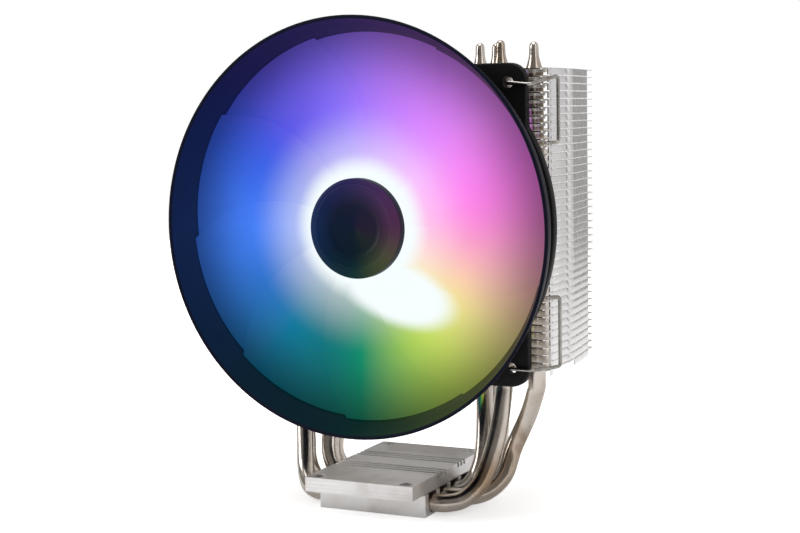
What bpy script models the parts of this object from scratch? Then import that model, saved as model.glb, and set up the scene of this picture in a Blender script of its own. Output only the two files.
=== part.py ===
"""A tower cooler for a processor: base, four U-shaped heat pipes, a fin tower and a round-framed axial fan.

The fan blows along +Y into the fins, +Z is up, and the origin is the centre of the base's contact face.
Run with: blender --background --python part.py
"""

import math

import bmesh
import bpy
from mathutils import Vector

MM = 0.001
GAP = 0.3 * MM
COLLECTION_NAME = "cpu_tower_cooler"

# Base: a square contact block under a longer, grooved clamping plate.
BLOCK_HALF = 19.6 * MM
BLOCK_TOP = 7.6 * MM
PLATE_HALF_X = 19.7 * MM
PLATE_HALF_Y = 29.5 * MM
PLATE_BOTTOM = BLOCK_TOP + GAP
PLATE_TOP = 12.7 * MM
GROOVE_WIDTH = 1.4 * MM
GROOVE_DEPTH = 1.6 * MM
GROOVE_PITCH = 2.6 * MM
GROOVES_PER_BAND = 3
GROOVE_BAND_CENTRES = (-6.0 * MM, 10.2 * MM)
NUT_PLACE = (16.0 * MM, 26.5 * MM)
NUT_OUTER = 2.0 * MM
NUT_INNER = 1.25 * MM

# Heat pipes: each row is one pipe's right-hand leg, from the base outwards and up to the fins.
PIPE_RADIUS = 3.0 * MM
PIPE_AXIS_Z = 4.0 * MM
PIPE_BASE_Y = (-13.5 * MM, -4.5 * MM, 4.5 * MM, 13.5 * MM)
PIPE_TOWER_XY = ((38.2, 4.9), (49.0, 7.0), (27.0, 14.5), (28.5, 25.3))
PIPE_BENDS = (
    ((24.4, -12.9, 4.0), (29.3, -9.4, 5.2), (33.2, -4.8, 9.8), (35.4, -0.9, 17.8), (37.2, 2.7, 29.1)),
    ((26.2, -3.3, 4.0), (32.8, 0.9, 5.4), (37.6, 5.2, 10.6), (39.9, 8.4, 19.5), (45.2, 8.6, 31.0)),
    ((22.6, 4.6, 4.3), (25.8, 4.9, 6.8), (28.2, 5.2, 11.0), (29.4, 6.6, 17.0), (29.0, 9.6, 28.0)),
    ((24.0, 13.3, 4.1), (28.0, 13.0, 6.4), (30.8, 13.4, 11.0), (31.6, 15.6, 17.4), (30.6, 20.2, 28.5)),
)
PIPE_STRAIGHT_FROM = 41.0 * MM
PIPE_TIP_TOP = 155.5 * MM
PIPE_TIP_PROFILE = ((0.0, 0.22), (0.4, 0.36), (1.3, 0.49), (4.3, 0.52), (8.2, 0.84), (9.6, 1.0))

# Fin tower: forty fins on one pitch, in interlocked stacks of four.
FIN_TOP = 146.0 * MM
FIN_PITCH = 2.49 * MM
FIN_THICKNESS = 0.4 * MM
FINS_PER_STACK = 4
STACK_COUNT = 10
FIN_FRONT_Y = -5.0 * MM
FIN_REAR_Y = 47.5 * MM
FIN_FRONT_HALF = 57.5 * MM
FIN_REAR_HALF = 55.2 * MM
FLANGE_FRONT_Y = -0.3 * MM
FLANGE_KNEE_Y = 20.5 * MM
FLANGE_REAR_Y = 42.0 * MM
FLANGE_THICKNESS = 0.5 * MM
FIN_HOLE_RADIUS = 3.85 * MM
FIN_HOLE_SIDES = 6

# Fan: every axial place is a distance in front of the contact face's centre line, along -Y.
FAN_CENTRE_Z = 95.6 * MM
LIP_FRONT = 33.5 * MM
SHROUD_OUTSIDE = (
    (68.0, 33.5), (68.0, 32.2), (66.0, 25.0), (63.5, 20.0), (61.0, 15.0), (59.4, 9.0), (59.4, 5.5),
)
SHROUD_INSIDE = ((58.0, 5.5), (58.0, 9.0), (59.8, 15.0), (62.3, 20.0), (64.8, 25.0), (66.8, 33.5))
FLANGE_FRONT = 9.0 * MM
FLANGE_BACK = 5.5 * MM
FLANGE_HALF = 52.15 * MM
FLANGE_CORNER = 6.0 * MM
FLANGE_RADIUS = 61.2 * MM
FLANGE_BORE = 58.6 * MM
CLIP_HOLE_OFFSET = 46.0 * MM
CLIP_HOLE_RADIUS = 2.3 * MM
MOTOR_SEAT_RADIUS = 22.5 * MM
MOTOR_SEAT_FRONT = 7.8 * MM
STRUT_ANGLES = (45.0, 135.0, 225.0, 315.0)
STRUT_WIDTH = 4.0 * MM
CABLE_STRUT_WIDTH = 8.0 * MM
REAR_CAP_RADIUS = 8.0 * MM
REAR_CAP_FRONT = 6.2 * MM
TUBE_RADIUS = 4.0 * MM
TUBE_BORE = 3.1 * MM
TUBE_FRONT = 24.0 * MM

# Impeller: translucent blades on a short hub, closed by a cap in front.
BLADE_COUNT = 9
BLADE_ROOT = 15.6 * MM
BLADE_FRONT = 23.6 * MM
BLADE_BACK = 12.2 * MM
BLADE_THICKNESS = 1.3 * MM
BLADE_SWEEP = math.radians(24.0)
BLADE_ROWS = 4
BLADE_SPAN = math.radians(54.0)
BLADE_FALL = 1.8 * MM
BLADE_HEM_FROM = 0.76
BLADE_COLUMNS = (0.0, 0.25, 0.5, 0.76, 0.88, 1.0)
TIP_CLEARANCE = 1.0 * MM
HUB_RADIUS = 16.3 * MM
HUB_INNER = 14.9 * MM
ROUND_STEPS = 44
SMALL_STEPS = 24

# Motor: profiles are (radius, axial place) in mm; rings are outer and inner radius, back and front.
HUB_CAP_PROFILE = (
    (15.1, 28.5), (16.3, 27.3), (16.3, 24.5), (15.0, 24.5), (15.0, 27.0), (0.0, 27.0),
    (0.0, 28.1), (8.8, 28.1), (9.2, 28.5), (12.9, 28.5), (13.1, 28.9), (14.1, 28.9), (14.3, 28.5),
)
YOKE_PROFILE = ((14.6, 26.7), (14.6, 12.6), (13.7, 12.6), (13.7, 25.8), (1.4, 25.8), (1.4, 26.7))
LIGHT_RING_PROFILE = ((20.6, 11.1), (21.6, 10.1), (21.6, 9.2), (17.2, 9.2), (17.2, 11.1))
MAGNET_RING = (13.4 * MM, 11.6 * MM, 13.4 * MM, 24.6 * MM)
SHAFT_CLIP_RING = (2.4 * MM, 1.4 * MM, 7.1 * MM, 7.6 * MM)
SLEEVE_RING = (2.8 * MM, 1.4 * MM, 8.0 * MM, 23.6 * MM)
MOTOR_BOARD_RING = (13.0 * MM, 4.4 * MM, 10.0 * MM, 11.2 * MM)
LED_BOARD_RING = (21.8 * MM, 17.0 * MM, 8.1 * MM, 8.9 * MM)
SHAFT = (1.05 * MM, 6.8 * MM, 26.6 * MM)
CORE_RADIUS = 7.0 * MM
CORE_BACK = 15.6 * MM
CORE_FRONT = 20.6 * MM
ARM_REACH = (6.0 * MM, 10.2 * MM)
ARM_HALF = 1.5 * MM
SHOE_REACH = (9.9 * MM, 10.7 * MM)
SHOE_HALF = 3.8 * MM
COIL_REACH = (7.3 * MM, 9.6 * MM)
COIL_HALF = 3.2 * MM
COIL_OVERHANG = 1.7 * MM
MOTOR_STEPS = 32
POLES = 4
STRUT_BITE = 2.0 * MM

# Wire clips: a wire of 1.2 mm from the fan's corner hole to the fin edge.
CLIP_WIRE_RADIUS = 0.6 * MM
CLIP_RUN_Y = -9.95 * MM
CLIP_PIN_Y = -6.4 * MM
CLIP_KNEE_X = 53.4 * MM
CLIP_LEG = (59.5 * MM, 0.5 * MM)
CLIP_HOOK = (56.3 * MM, -3.3 * MM)
CLIP_HOOK_FIN = (9, 29)
CLIP_KNEE_DROP = (0.9 * MM, 0.1 * MM)
CLIP_LEG_RISE = (1.8 * MM, -0.1 * MM)

COLOURS = {
    "bare_aluminium": ((0.80, 0.80, 0.81), 0.32, 1.0),
    "brushed_aluminium": ((0.74, 0.73, 0.72), 0.38, 1.0),
    "nickel_plate": ((0.66, 0.62, 0.57), 0.22, 1.0),
    "black_plastic": ((0.012, 0.012, 0.014), 0.38, 0.0),
    "gloss_black": ((0.010, 0.014, 0.020), 0.15, 0.0),
    "frosted_blade": ((0.55, 0.45, 0.95), 0.35, 0.0),
    "light_guide": ((0.95, 0.95, 1.00), 0.30, 0.0),
    "spring_steel": ((0.62, 0.60, 0.57), 0.28, 1.0),
    "plated_steel": ((0.60, 0.61, 0.62), 0.35, 1.0),
    "bronze": ((0.60, 0.38, 0.18), 0.40, 1.0),
    "ferrite": ((0.05, 0.05, 0.05), 0.60, 0.0),
    "copper_wire": ((0.70, 0.32, 0.14), 0.35, 1.0),
    "silicon_steel": ((0.35, 0.35, 0.36), 0.45, 1.0),
    "circuit_board": ((0.02, 0.10, 0.05), 0.50, 0.0),
}


def clear_scene():
    for obj in list(bpy.data.objects):
        bpy.data.objects.remove(obj, do_unlink=True)


def new_collection(name):
    collection = bpy.data.collections.new(name)
    bpy.context.scene.collection.children.link(collection)
    return collection


def make_material(name):
    colour, roughness, metallic = COLOURS[name]
    material = bpy.data.materials.new(name)
    material.use_nodes = True
    shader = material.node_tree.nodes["Principled BSDF"]
    shader.inputs["Base Color"].default_value = (*colour, 1.0)
    shader.inputs["Roughness"].default_value = roughness
    shader.inputs["Metallic"].default_value = metallic
    material.diffuse_color = (*colour, 1.0)
    return material


clear_scene()
PARTS = new_collection(COLLECTION_NAME)
CUTTERS = new_collection("cutters")
MATERIALS = {name: make_material(name) for name in COLOURS}


def finish_part(obj, material):
    """Puts a sub-part in the object's collection, with its own material and its round faces smooth."""
    PARTS.objects.link(obj)
    own = MATERIALS[material].copy()
    own.name = obj.name + "_" + material
    obj.data.materials.append(own)
    if obj.type == "MESH":
        obj.data.shade_smooth()
        obj.data.set_sharp_from_angle(angle=math.radians(35.0))
    return obj


def finish_cutter(obj):
    CUTTERS.objects.link(obj)
    obj.hide_render = True
    obj.display_type = "WIRE"
    return obj


def mesh_object(name, bm):
    mesh = bpy.data.meshes.new(name)
    bm.to_mesh(mesh)
    bm.free()
    return bpy.data.objects.new(name, mesh)


def box(name, low, high):
    """A box between two corners, with its origin at the world's origin."""
    bm = bmesh.new()
    bmesh.ops.create_cube(bm, size=1.0)
    low, high = Vector(low), Vector(high)
    bmesh.ops.scale(bm, vec=high - low, verts=bm.verts)
    bmesh.ops.translate(bm, vec=(low + high) / 2, verts=bm.verts)
    return mesh_object(name, bm)


def cylinder(name, radius, low, high, steps=SMALL_STEPS, centre=(0.0, 0.0)):
    """A cylinder about local Z from low to high."""
    bm = bmesh.new()
    bmesh.ops.create_cone(
        bm, cap_ends=True, segments=steps, radius1=radius, radius2=radius, depth=high - low
    )
    bmesh.ops.translate(bm, vec=(centre[0], centre[1], (low + high) / 2), verts=bm.verts)
    return mesh_object(name, bm)


def turned(name, profile, steps=ROUND_STEPS):
    """A closed profile of (radius, height) points turned about local Z; it runs down its outer side first."""
    bm = bmesh.new()
    points = [bm.verts.new((radius, 0.0, height)) for radius, height in profile]
    for first, second in zip(points, points[1:] + points[:1]):
        if first.co.x > 0.0 or second.co.x > 0.0:
            bm.edges.new((first, second))
    obj = mesh_object(name, bm)
    screw = obj.modifiers.new("turn", "SCREW")
    screw.steps = steps
    screw.render_steps = steps
    screw.use_merge_vertices = True
    screw.merge_threshold = 0.00001
    screw.use_smooth_shade = True
    return obj


def scaled(points):
    return [(radius * MM, height * MM) for radius, height in points]


def ring(name, outer, inner, low, high, steps=ROUND_STEPS):
    return turned(name, [(outer, high), (outer, low), (inner, low), (inner, high)], steps)


def evaluated_mesh(obj, name):
    """The welded mesh of a curve, as a new object in the same place."""
    bpy.context.view_layer.update()
    graph = bpy.context.evaluated_depsgraph_get()
    mesh = bpy.data.meshes.new_from_object(obj.evaluated_get(graph))
    bm = bmesh.new()
    bm.from_mesh(mesh)
    bmesh.ops.remove_doubles(bm, verts=bm.verts, dist=0.00001)
    bm.to_mesh(mesh)
    bm.free()
    solid = bpy.data.objects.new(name, mesh)
    solid.matrix_world = obj.matrix_world.copy()
    bpy.data.objects.remove(obj)
    return solid


def prism(name, outline, low, high):
    """A flat outline in XY given thickness from low to high along Z."""
    curve = bpy.data.curves.new(name, "CURVE")
    curve.dimensions = "2D"
    curve.fill_mode = "BOTH"
    curve.extrude = (high - low) / 2
    spline = curve.splines.new("POLY")
    spline.points.add(len(outline) - 1)
    for point, (x, y) in zip(spline.points, outline):
        point.co = (x, y, 0.0, 1.0)
    spline.use_cyclic_u = True
    guide = bpy.data.objects.new(name + "_outline", curve)
    guide.location.z = (low + high) / 2
    CUTTERS.objects.link(guide)
    return evaluated_mesh(guide, name)


def boolean(obj, other, operation, solver="EXACT"):
    modifier = obj.modifiers.new(operation.lower() + "_" + other.name, "BOOLEAN")
    modifier.operation = operation
    modifier.solver = solver
    modifier.object = finish_cutter(other)


def join(name, objects):
    """Several plain solids that don't touch, as one mesh, for use as one cutter."""
    bpy.context.view_layer.update()
    bm = bmesh.new()
    for obj in objects:
        mesh = obj.data
        mesh.transform(obj.matrix_world)
        bm.from_mesh(mesh)
        bpy.data.objects.remove(obj)
    return mesh_object(name, bm)


def tube(name, points, radius, sides_resolution=2, radii=None):
    """A round wire or pipe along a list of points, closed at both ends."""
    curve = bpy.data.curves.new(name, "CURVE")
    curve.dimensions = "3D"
    curve.bevel_depth = radius
    curve.bevel_resolution = sides_resolution
    curve.use_fill_caps = True
    spline = curve.splines.new("POLY")
    spline.points.add(len(points) - 1)
    for index, place in enumerate(points):
        spline.points[index].co = (*place, 1.0)
        if radii:
            spline.points[index].radius = radii[index]
    return bpy.data.objects.new(name, curve)


def smooth_path(points, steps):
    """Points on a Catmull-Rom curve through the given ones, with this many steps to each span."""
    knots = [2 * points[0] - points[1], *points, 2 * points[-1] - points[-2]]
    path = []
    for before, start, end, after in zip(knots, knots[1:], knots[2:], knots[3:]):
        for step in range(steps):
            t = step / steps
            path.append(
                0.5
                * (
                    2 * start
                    + (end - before) * t
                    + (2 * before - 5 * start + 4 * end - after) * t**2
                    + (3 * start - before - 3 * end + after) * t**3
                )
            )
    return path + [points[-1]]


def make_base_block():
    half = BLOCK_HALF
    block = box("base_block", (-half, -half, 0.0), (half, half, BLOCK_TOP))
    bore = PIPE_RADIUS + GAP
    reach = BLOCK_HALF + 2 * MM
    for index, y in enumerate(PIPE_BASE_Y):
        channel = cylinder(f"channel_{index + 1}", bore, -reach, reach)
        channel.rotation_euler = (0.0, math.pi / 2, 0.0)
        channel.location = (0.0, y, PIPE_AXIS_Z)
        boolean(block, channel, "DIFFERENCE")
        mouth_low = (-reach, y - bore, PIPE_AXIS_Z)
        mouth = box(f"channel_mouth_{index + 1}", mouth_low, (reach, y + bore, 2 * BLOCK_TOP))
        boolean(block, mouth, "DIFFERENCE")
    finish_part(block, "brushed_aluminium")


def make_base_plate():
    low = (-PLATE_HALF_X, -PLATE_HALF_Y, PLATE_BOTTOM)
    plate = box("base_plate", low, (PLATE_HALF_X, PLATE_HALF_Y, PLATE_TOP))
    reach = PLATE_HALF_X + 2 * MM
    floor = PLATE_TOP - GROOVE_DEPTH
    for band, centre in enumerate(GROOVE_BAND_CENTRES):
        for index in range(GROOVES_PER_BAND):
            y = centre + (index - (GROOVES_PER_BAND - 1) / 2) * GROOVE_PITCH
            side = GROOVE_WIDTH / 2
            name = f"groove_{band + 1}_{index + 1}"
            groove = box(name, (-reach, y - side, floor), (reach, y + side, 2 * PLATE_TOP))
            boolean(plate, groove, "DIFFERENCE")
    for index, (x, y) in enumerate(nut_places()):
        hole = cylinder(f"nut_hole_{index + 1}", NUT_OUTER + GAP, 0.0, 2 * PLATE_TOP, centre=(x, y))
        boolean(plate, hole, "DIFFERENCE")
    finish_part(plate, "brushed_aluminium")


def nut_places():
    x, y = NUT_PLACE
    return [(-x, -y), (x, -y), (x, y), (-x, y)]


def make_press_nuts():
    for index, (x, y) in enumerate(nut_places()):
        nut = ring(f"bracket_nut_{index + 1}", NUT_OUTER, NUT_INNER, PLATE_BOTTOM + GAP, PLATE_TOP - GAP, 16)
        nut.location = (x, y, 0.0)
        finish_part(nut, "plated_steel")


def leg_points(index):
    """One leg of a pipe from its tip down to the middle of the base, with the radius factor at each point."""
    x, y = PIPE_TOWER_XY[index]
    places = []
    radii = []
    for drop, factor in PIPE_TIP_PROFILE:
        places.append(Vector((x * MM, y * MM, PIPE_TIP_TOP - drop * MM)))
        radii.append(factor)
    knots = [Vector((x * MM, y * MM, PIPE_STRAIGHT_FROM))]
    knots += [Vector(point) * MM for point in reversed(PIPE_BENDS[index])]
    knots.append(Vector((BLOCK_HALF, PIPE_BASE_Y[index], PIPE_AXIS_Z)))
    bend = smooth_path(knots, 2)
    return places + bend, radii + [1.0] * len(bend)


def make_heat_pipes():
    for index in range(len(PIPE_BASE_Y)):
        places, radii = leg_points(index)
        mirrored = [Vector((-place.x, place.y, place.z)) for place in reversed(places)]
        pipe = tube(f"heat_pipe_{index + 1}", places + mirrored, PIPE_RADIUS, 2, radii + radii[::-1])
        finish_part(pipe, "nickel_plate")


def mirrored_outline(right_side):
    """A closed outline from the points of its +X side, given front to rear."""
    return right_side + [(-x, y) for x, y in reversed(right_side)]


def make_fin_stacks():
    outline = mirrored_outline([
        (FIN_FRONT_HALF, FIN_FRONT_Y),
        (FIN_FRONT_HALF, FLANGE_KNEE_Y),
        (FIN_REAR_HALF, FLANGE_REAR_Y + FLANGE_THICKNESS),
        (FIN_REAR_HALF, FIN_REAR_Y),
    ])
    beyond = FIN_FRONT_HALF + 3 * MM
    gap_outline = mirrored_outline([
        (beyond, FIN_FRONT_Y - 2 * MM),
        (beyond, FLANGE_FRONT_Y),
        (FIN_FRONT_HALF - FLANGE_THICKNESS, FLANGE_FRONT_Y),
        (FIN_FRONT_HALF - FLANGE_THICKNESS, FLANGE_KNEE_Y),
        (FIN_REAR_HALF - FLANGE_THICKNESS, FLANGE_REAR_Y),
        (beyond, FLANGE_REAR_Y),
        (beyond, FIN_REAR_Y + 2 * MM),
    ])
    stack_pitch = FINS_PER_STACK * FIN_PITCH
    for index in range(STACK_COUNT):
        top = FIN_TOP - index * stack_pitch
        bottom = top - stack_pitch + GAP
        stack = prism(f"fin_stack_{index + 1:02d}", outline, bottom, top)
        gaps = []
        for fin in range(FINS_PER_STACK):
            high = top - fin * FIN_PITCH - FIN_THICKNESS
            low = high - FIN_PITCH + FIN_THICKNESS
            if fin == FINS_PER_STACK - 1:
                low = bottom - 1 * MM
            gaps.append(prism(f"gap_{index}_{fin}", gap_outline, low, high))
        boolean(stack, join(f"fin_gaps_{index + 1}", gaps), "DIFFERENCE", "MANIFOLD")
        holes = []
        for x, y in PIPE_TOWER_XY:
            for side in (1, -1):
                centre = (side * x * MM, y * MM)
                name = f"hole_{index}_{x}_{side}"
                holes.append(
                    cylinder(name, FIN_HOLE_RADIUS, bottom - 1 * MM, top + 1 * MM, FIN_HOLE_SIDES, centre)
                )
        boolean(stack, join(f"pipe_holes_{index + 1}", holes), "DIFFERENCE", "MANIFOLD")
        finish_part(stack, "bare_aluminium")


def make_axis(name):
    """An empty on the fan's axis, whose local Z points out of the fan's front, along -Y."""
    axis = bpy.data.objects.new(name, None)
    PARTS.objects.link(axis)
    axis.location = (0.0, 0.0, FAN_CENTRE_Z)
    axis.rotation_euler = (math.pi / 2, 0.0, 0.0)
    return axis


def on_axis(obj, axis, material):
    finish_part(obj, material)
    obj.parent = axis
    return obj


def add_to(obj, other, axis, operation):
    boolean(obj, other, operation)
    other.parent = axis


def make_flange():
    """The frame's rear flange: a square with rounded corners joined to a disc, bored for the blades."""
    bm = bmesh.new()
    bmesh.ops.create_cube(bm, size=1.0)
    depth = FLANGE_FRONT - FLANGE_BACK
    bmesh.ops.scale(bm, vec=(2 * FLANGE_HALF, 2 * FLANGE_HALF, depth), verts=bm.verts)
    bmesh.ops.translate(bm, vec=(0.0, 0.0, (FLANGE_FRONT + FLANGE_BACK) / 2), verts=bm.verts)
    corners = [edge for edge in bm.edges if abs(edge.verts[0].co.z - edge.verts[1].co.z) > depth / 2]
    bmesh.ops.bevel(bm, geom=corners, offset=FLANGE_CORNER, segments=4, profile=0.5, affect="EDGES")
    return mesh_object("flange", bm)


def make_fan_frame(axis):
    frame = turned("fan_frame", scaled(SHROUD_OUTSIDE + SHROUD_INSIDE))
    flange = make_flange()
    disc = cylinder("flange_disc", FLANGE_RADIUS, FLANGE_BACK, FLANGE_FRONT, ROUND_STEPS)
    add_to(flange, disc, axis, "UNION")
    bore = cylinder("flange_bore", FLANGE_BORE, 0.0, LIP_FRONT, ROUND_STEPS)
    add_to(flange, bore, axis, "DIFFERENCE")
    add_to(frame, flange, axis, "UNION")
    motor_seat = cylinder("motor_seat", MOTOR_SEAT_RADIUS, FLANGE_BACK, MOTOR_SEAT_FRONT, ROUND_STEPS)
    add_to(frame, motor_seat, axis, "UNION")
    for index, angle in enumerate(STRUT_ANGLES):
        half = (CABLE_STRUT_WIDTH if index == 3 else STRUT_WIDTH) / 2
        inner = MOTOR_SEAT_RADIUS - STRUT_BITE
        outer = FLANGE_BORE + 0.4 * MM
        strut = box(f"strut_{index + 1}", (inner, -half, FLANGE_BACK), (outer, half, MOTOR_SEAT_FRONT))
        strut.rotation_euler = (0.0, 0.0, math.radians(angle))
        add_to(frame, strut, axis, "UNION")
    add_to(frame, cylinder("bearing_tube", TUBE_RADIUS, FLANGE_BACK, TUBE_FRONT), axis, "UNION")
    tube_bore = cylinder("tube_bore", TUBE_BORE, FLANGE_BACK - 1 * MM, TUBE_FRONT + 1 * MM)
    add_to(frame, tube_bore, axis, "DIFFERENCE")
    seat = cylinder("rear_cap_seat", REAR_CAP_RADIUS + GAP, FLANGE_BACK - 1 * MM, REAR_CAP_FRONT + GAP)
    add_to(frame, seat, axis, "DIFFERENCE")
    for index, (x, z) in enumerate(((1, 1), (1, -1), (-1, -1), (-1, 1))):
        centre = (x * CLIP_HOLE_OFFSET, z * CLIP_HOLE_OFFSET)
        hole = cylinder(f"clip_hole_{index + 1}", CLIP_HOLE_RADIUS, 0.0, FLANGE_FRONT + 1 * MM, 12, centre)
        add_to(frame, hole, axis, "DIFFERENCE")
    on_axis(frame, axis, "black_plastic")


def wall_radius(height):
    """The shroud's inner radius at an axial place, between the points of its profile."""
    points = sorted((place * MM, radius * MM) for radius, place in SHROUD_INSIDE)
    for (low, low_radius), (high, high_radius) in zip(points, points[1:]):
        if low <= height <= high:
            share = (height - low) / (high - low)
            return low_radius + share * (high_radius - low_radius)
    return points[-1][1]


def blade_point(across, along, side):
    """A point of a blade: across runs from root to tip, along from leading to trailing edge.

    The blade falls gently from its leading edge, and its last part turns down under the next blade.
    """
    hem = max(0.0, (along - BLADE_HEM_FROM) / (1.0 - BLADE_HEM_FROM))
    height = BLADE_FRONT - BLADE_FALL * along - (BLADE_FRONT - BLADE_BACK - BLADE_FALL) * hem**1.5
    tip = wall_radius(height) - TIP_CLEARANCE
    radius = BLADE_ROOT + (tip - BLADE_ROOT) * across
    angle = BLADE_SWEEP * across**1.5 + BLADE_SPAN * along
    thin = 0.35 + 0.65 * math.sin(math.pi * min(1.0, 0.15 + 0.85 * along))
    height += side * BLADE_THICKNESS / 2 * thin
    return radius, angle, height


def add_blade(bm, turn):
    """One blade as a loft: two skins on one grid, joined round their edges."""
    rows = BLADE_ROWS
    columns = len(BLADE_COLUMNS) - 1
    skins = []
    for side in (1, -1):
        skin = []
        for row in range(rows + 1):
            line = []
            for along in BLADE_COLUMNS:
                radius, angle, height = blade_point(row / rows, along, side)
                place = (radius * math.cos(angle + turn), radius * math.sin(angle + turn), height)
                line.append(bm.verts.new(place))
            skin.append(line)
        skins.append(skin)
    front, back = skins
    for row in range(rows):
        for column in range(columns):
            square = ((row, column), (row + 1, column), (row + 1, column + 1), (row, column + 1))
            bm.faces.new([front[r][c] for r, c in square])
            bm.faces.new([back[r][c] for r, c in reversed(square)])
    rim = [(0, column) for column in range(columns)] + [(row, columns) for row in range(rows)]
    rim += [(rows, column) for column in range(columns, 0, -1)] + [(row, 0) for row in range(rows, 0, -1)]
    for (r1, c1), (r2, c2) in zip(rim, rim[1:] + rim[:1]):
        bm.faces.new((front[r1][c1], front[r2][c2], back[r2][c2], back[r1][c1]))


def make_impeller(axis):
    impeller = ring("impeller", HUB_RADIUS, HUB_INNER, BLADE_BACK - 0.6 * MM, BLADE_FRONT + 0.6 * MM)
    bm = bmesh.new()
    for index in range(BLADE_COUNT):
        add_blade(bm, index * math.tau / BLADE_COUNT)
    bmesh.ops.recalc_face_normals(bm, faces=bm.faces)
    add_to(impeller, mesh_object("blades", bm), axis, "UNION")
    on_axis(impeller, axis, "frosted_blade")


def make_rotor(axis):
    on_axis(turned("hub_cap", scaled(HUB_CAP_PROFILE), MOTOR_STEPS), axis, "gloss_black")
    on_axis(turned("rotor_yoke", scaled(YOKE_PROFILE), MOTOR_STEPS), axis, "plated_steel")
    on_axis(ring("rotor_magnet", *MAGNET_RING, MOTOR_STEPS), axis, "ferrite")
    on_axis(cylinder("rotor_shaft", *SHAFT, 12), axis, "plated_steel")
    on_axis(ring("shaft_clip", *SHAFT_CLIP_RING, 12), axis, "plated_steel")


def make_stator(axis):
    on_axis(ring("bearing_sleeve", *SLEEVE_RING, 16), axis, "bronze")
    core = cylinder("stator_core", CORE_RADIUS, CORE_BACK, CORE_FRONT)
    coil_back = CORE_BACK - COIL_OVERHANG
    coil_front = CORE_FRONT + COIL_OVERHANG
    around_arm = ARM_HALF + GAP
    for index in range(POLES):
        number = index + 1
        turn = (0.0, 0.0, index * math.tau / POLES)
        arm_low = (ARM_REACH[0], -ARM_HALF, CORE_BACK)
        arm = box(f"pole_arm_{number}", arm_low, (ARM_REACH[1], ARM_HALF, CORE_FRONT))
        arm.rotation_euler = turn
        add_to(core, arm, axis, "UNION")
        shoe_low = (SHOE_REACH[0], -SHOE_HALF, CORE_BACK)
        shoe = box(f"pole_shoe_{number}", shoe_low, (SHOE_REACH[1], SHOE_HALF, CORE_FRONT))
        shoe.rotation_euler = turn
        add_to(core, shoe, axis, "UNION")
        coil_low = (COIL_REACH[0], -COIL_HALF, coil_back)
        coil = box(f"stator_coil_{number}", coil_low, (COIL_REACH[1], COIL_HALF, coil_front))
        window_low = (ARM_REACH[0], -around_arm, CORE_BACK - GAP)
        window = box(f"coil_window_{number}", window_low, (SHOE_REACH[1], around_arm, CORE_FRONT + GAP))
        for piece in (coil, window):
            piece.rotation_euler = turn
        add_to(coil, window, axis, "DIFFERENCE")
        on_axis(coil, axis, "copper_wire")
    core_bore = cylinder("core_bore", TUBE_RADIUS + GAP, CORE_BACK - 2 * GAP, CORE_FRONT + 2 * GAP)
    add_to(core, core_bore, axis, "DIFFERENCE")
    on_axis(core, axis, "silicon_steel")
    on_axis(ring("motor_board", *MOTOR_BOARD_RING, SMALL_STEPS), axis, "circuit_board")
    on_axis(ring("led_board", *LED_BOARD_RING, MOTOR_STEPS), axis, "circuit_board")
    on_axis(turned("light_ring", scaled(LIGHT_RING_PROFILE), MOTOR_STEPS), axis, "light_guide")
    cap_back = FLANGE_BACK + 0.1 * MM
    on_axis(cylinder("rear_cap", REAR_CAP_RADIUS, cap_back, REAR_CAP_FRONT), axis, "black_plastic")


def clip_points(side, upper):
    """The wire's path for the +X side, from its pin in the fan's hole to its hook between two fins."""
    hole_z = FAN_CENTRE_Z + (CLIP_HOLE_OFFSET if upper else -CLIP_HOLE_OFFSET)
    fin = CLIP_HOOK_FIN[0 if upper else 1]
    hook_z = FIN_TOP - fin * FIN_PITCH - (FIN_PITCH + FIN_THICKNESS) / 2
    inward = 1.0 if hook_z > hole_z else -1.0
    turn = 1.0 * MM
    knee_z = hole_z - CLIP_KNEE_DROP[0 if upper else 1]
    leg_z = hole_z + CLIP_LEG_RISE[0 if upper else 1]
    leg_x, leg_y = CLIP_LEG
    hook_x, hook_y = CLIP_HOOK
    start = CLIP_HOLE_OFFSET
    along = Vector((hook_x - leg_x, hook_y - leg_y, 0.0)).normalized() * turn
    across = Vector((leg_x - CLIP_KNEE_X, leg_y - CLIP_RUN_Y, 0.0)).normalized() * turn
    points = [
        Vector((start, CLIP_PIN_Y, hole_z)),
        Vector((start, CLIP_RUN_Y + turn, hole_z)),
        Vector((start + 0.3 * turn, CLIP_RUN_Y + 0.3 * turn, hole_z)),
        Vector((start + turn, CLIP_RUN_Y, hole_z)),
        Vector((CLIP_KNEE_X - turn, CLIP_RUN_Y, knee_z)),
        Vector((CLIP_KNEE_X, CLIP_RUN_Y, knee_z)) + across,
        Vector((leg_x, leg_y, leg_z)) - across,
        Vector((leg_x, leg_y, leg_z + 0.3 * inward * turn)) - 0.3 * across,
        Vector((leg_x, leg_y, leg_z + inward * turn)),
        Vector((leg_x, leg_y, hook_z - inward * turn)),
        Vector((leg_x, leg_y, hook_z - 0.3 * inward * turn)) + 0.3 * along,
        Vector((leg_x, leg_y, hook_z)) + along,
        Vector((hook_x, hook_y, hook_z)),
    ]
    return [Vector((side * point.x, point.y, point.z)) for point in points]


def make_wire_clips():
    """The four clips, each with its origin on the vertical axis through its hole in the fan's corner."""
    for side, side_name in ((1, "right"), (-1, "left")):
        for upper, level in ((True, "upper"), (False, "lower")):
            pivot = Vector((side * CLIP_HOLE_OFFSET, CLIP_RUN_Y, 0.0))
            points = [point - pivot for point in clip_points(side, upper)]
            clip = tube(f"wire_clip_{side_name}_{level}", points, CLIP_WIRE_RADIUS)
            clip.location = pivot
            finish_part(clip, "spring_steel")


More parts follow.
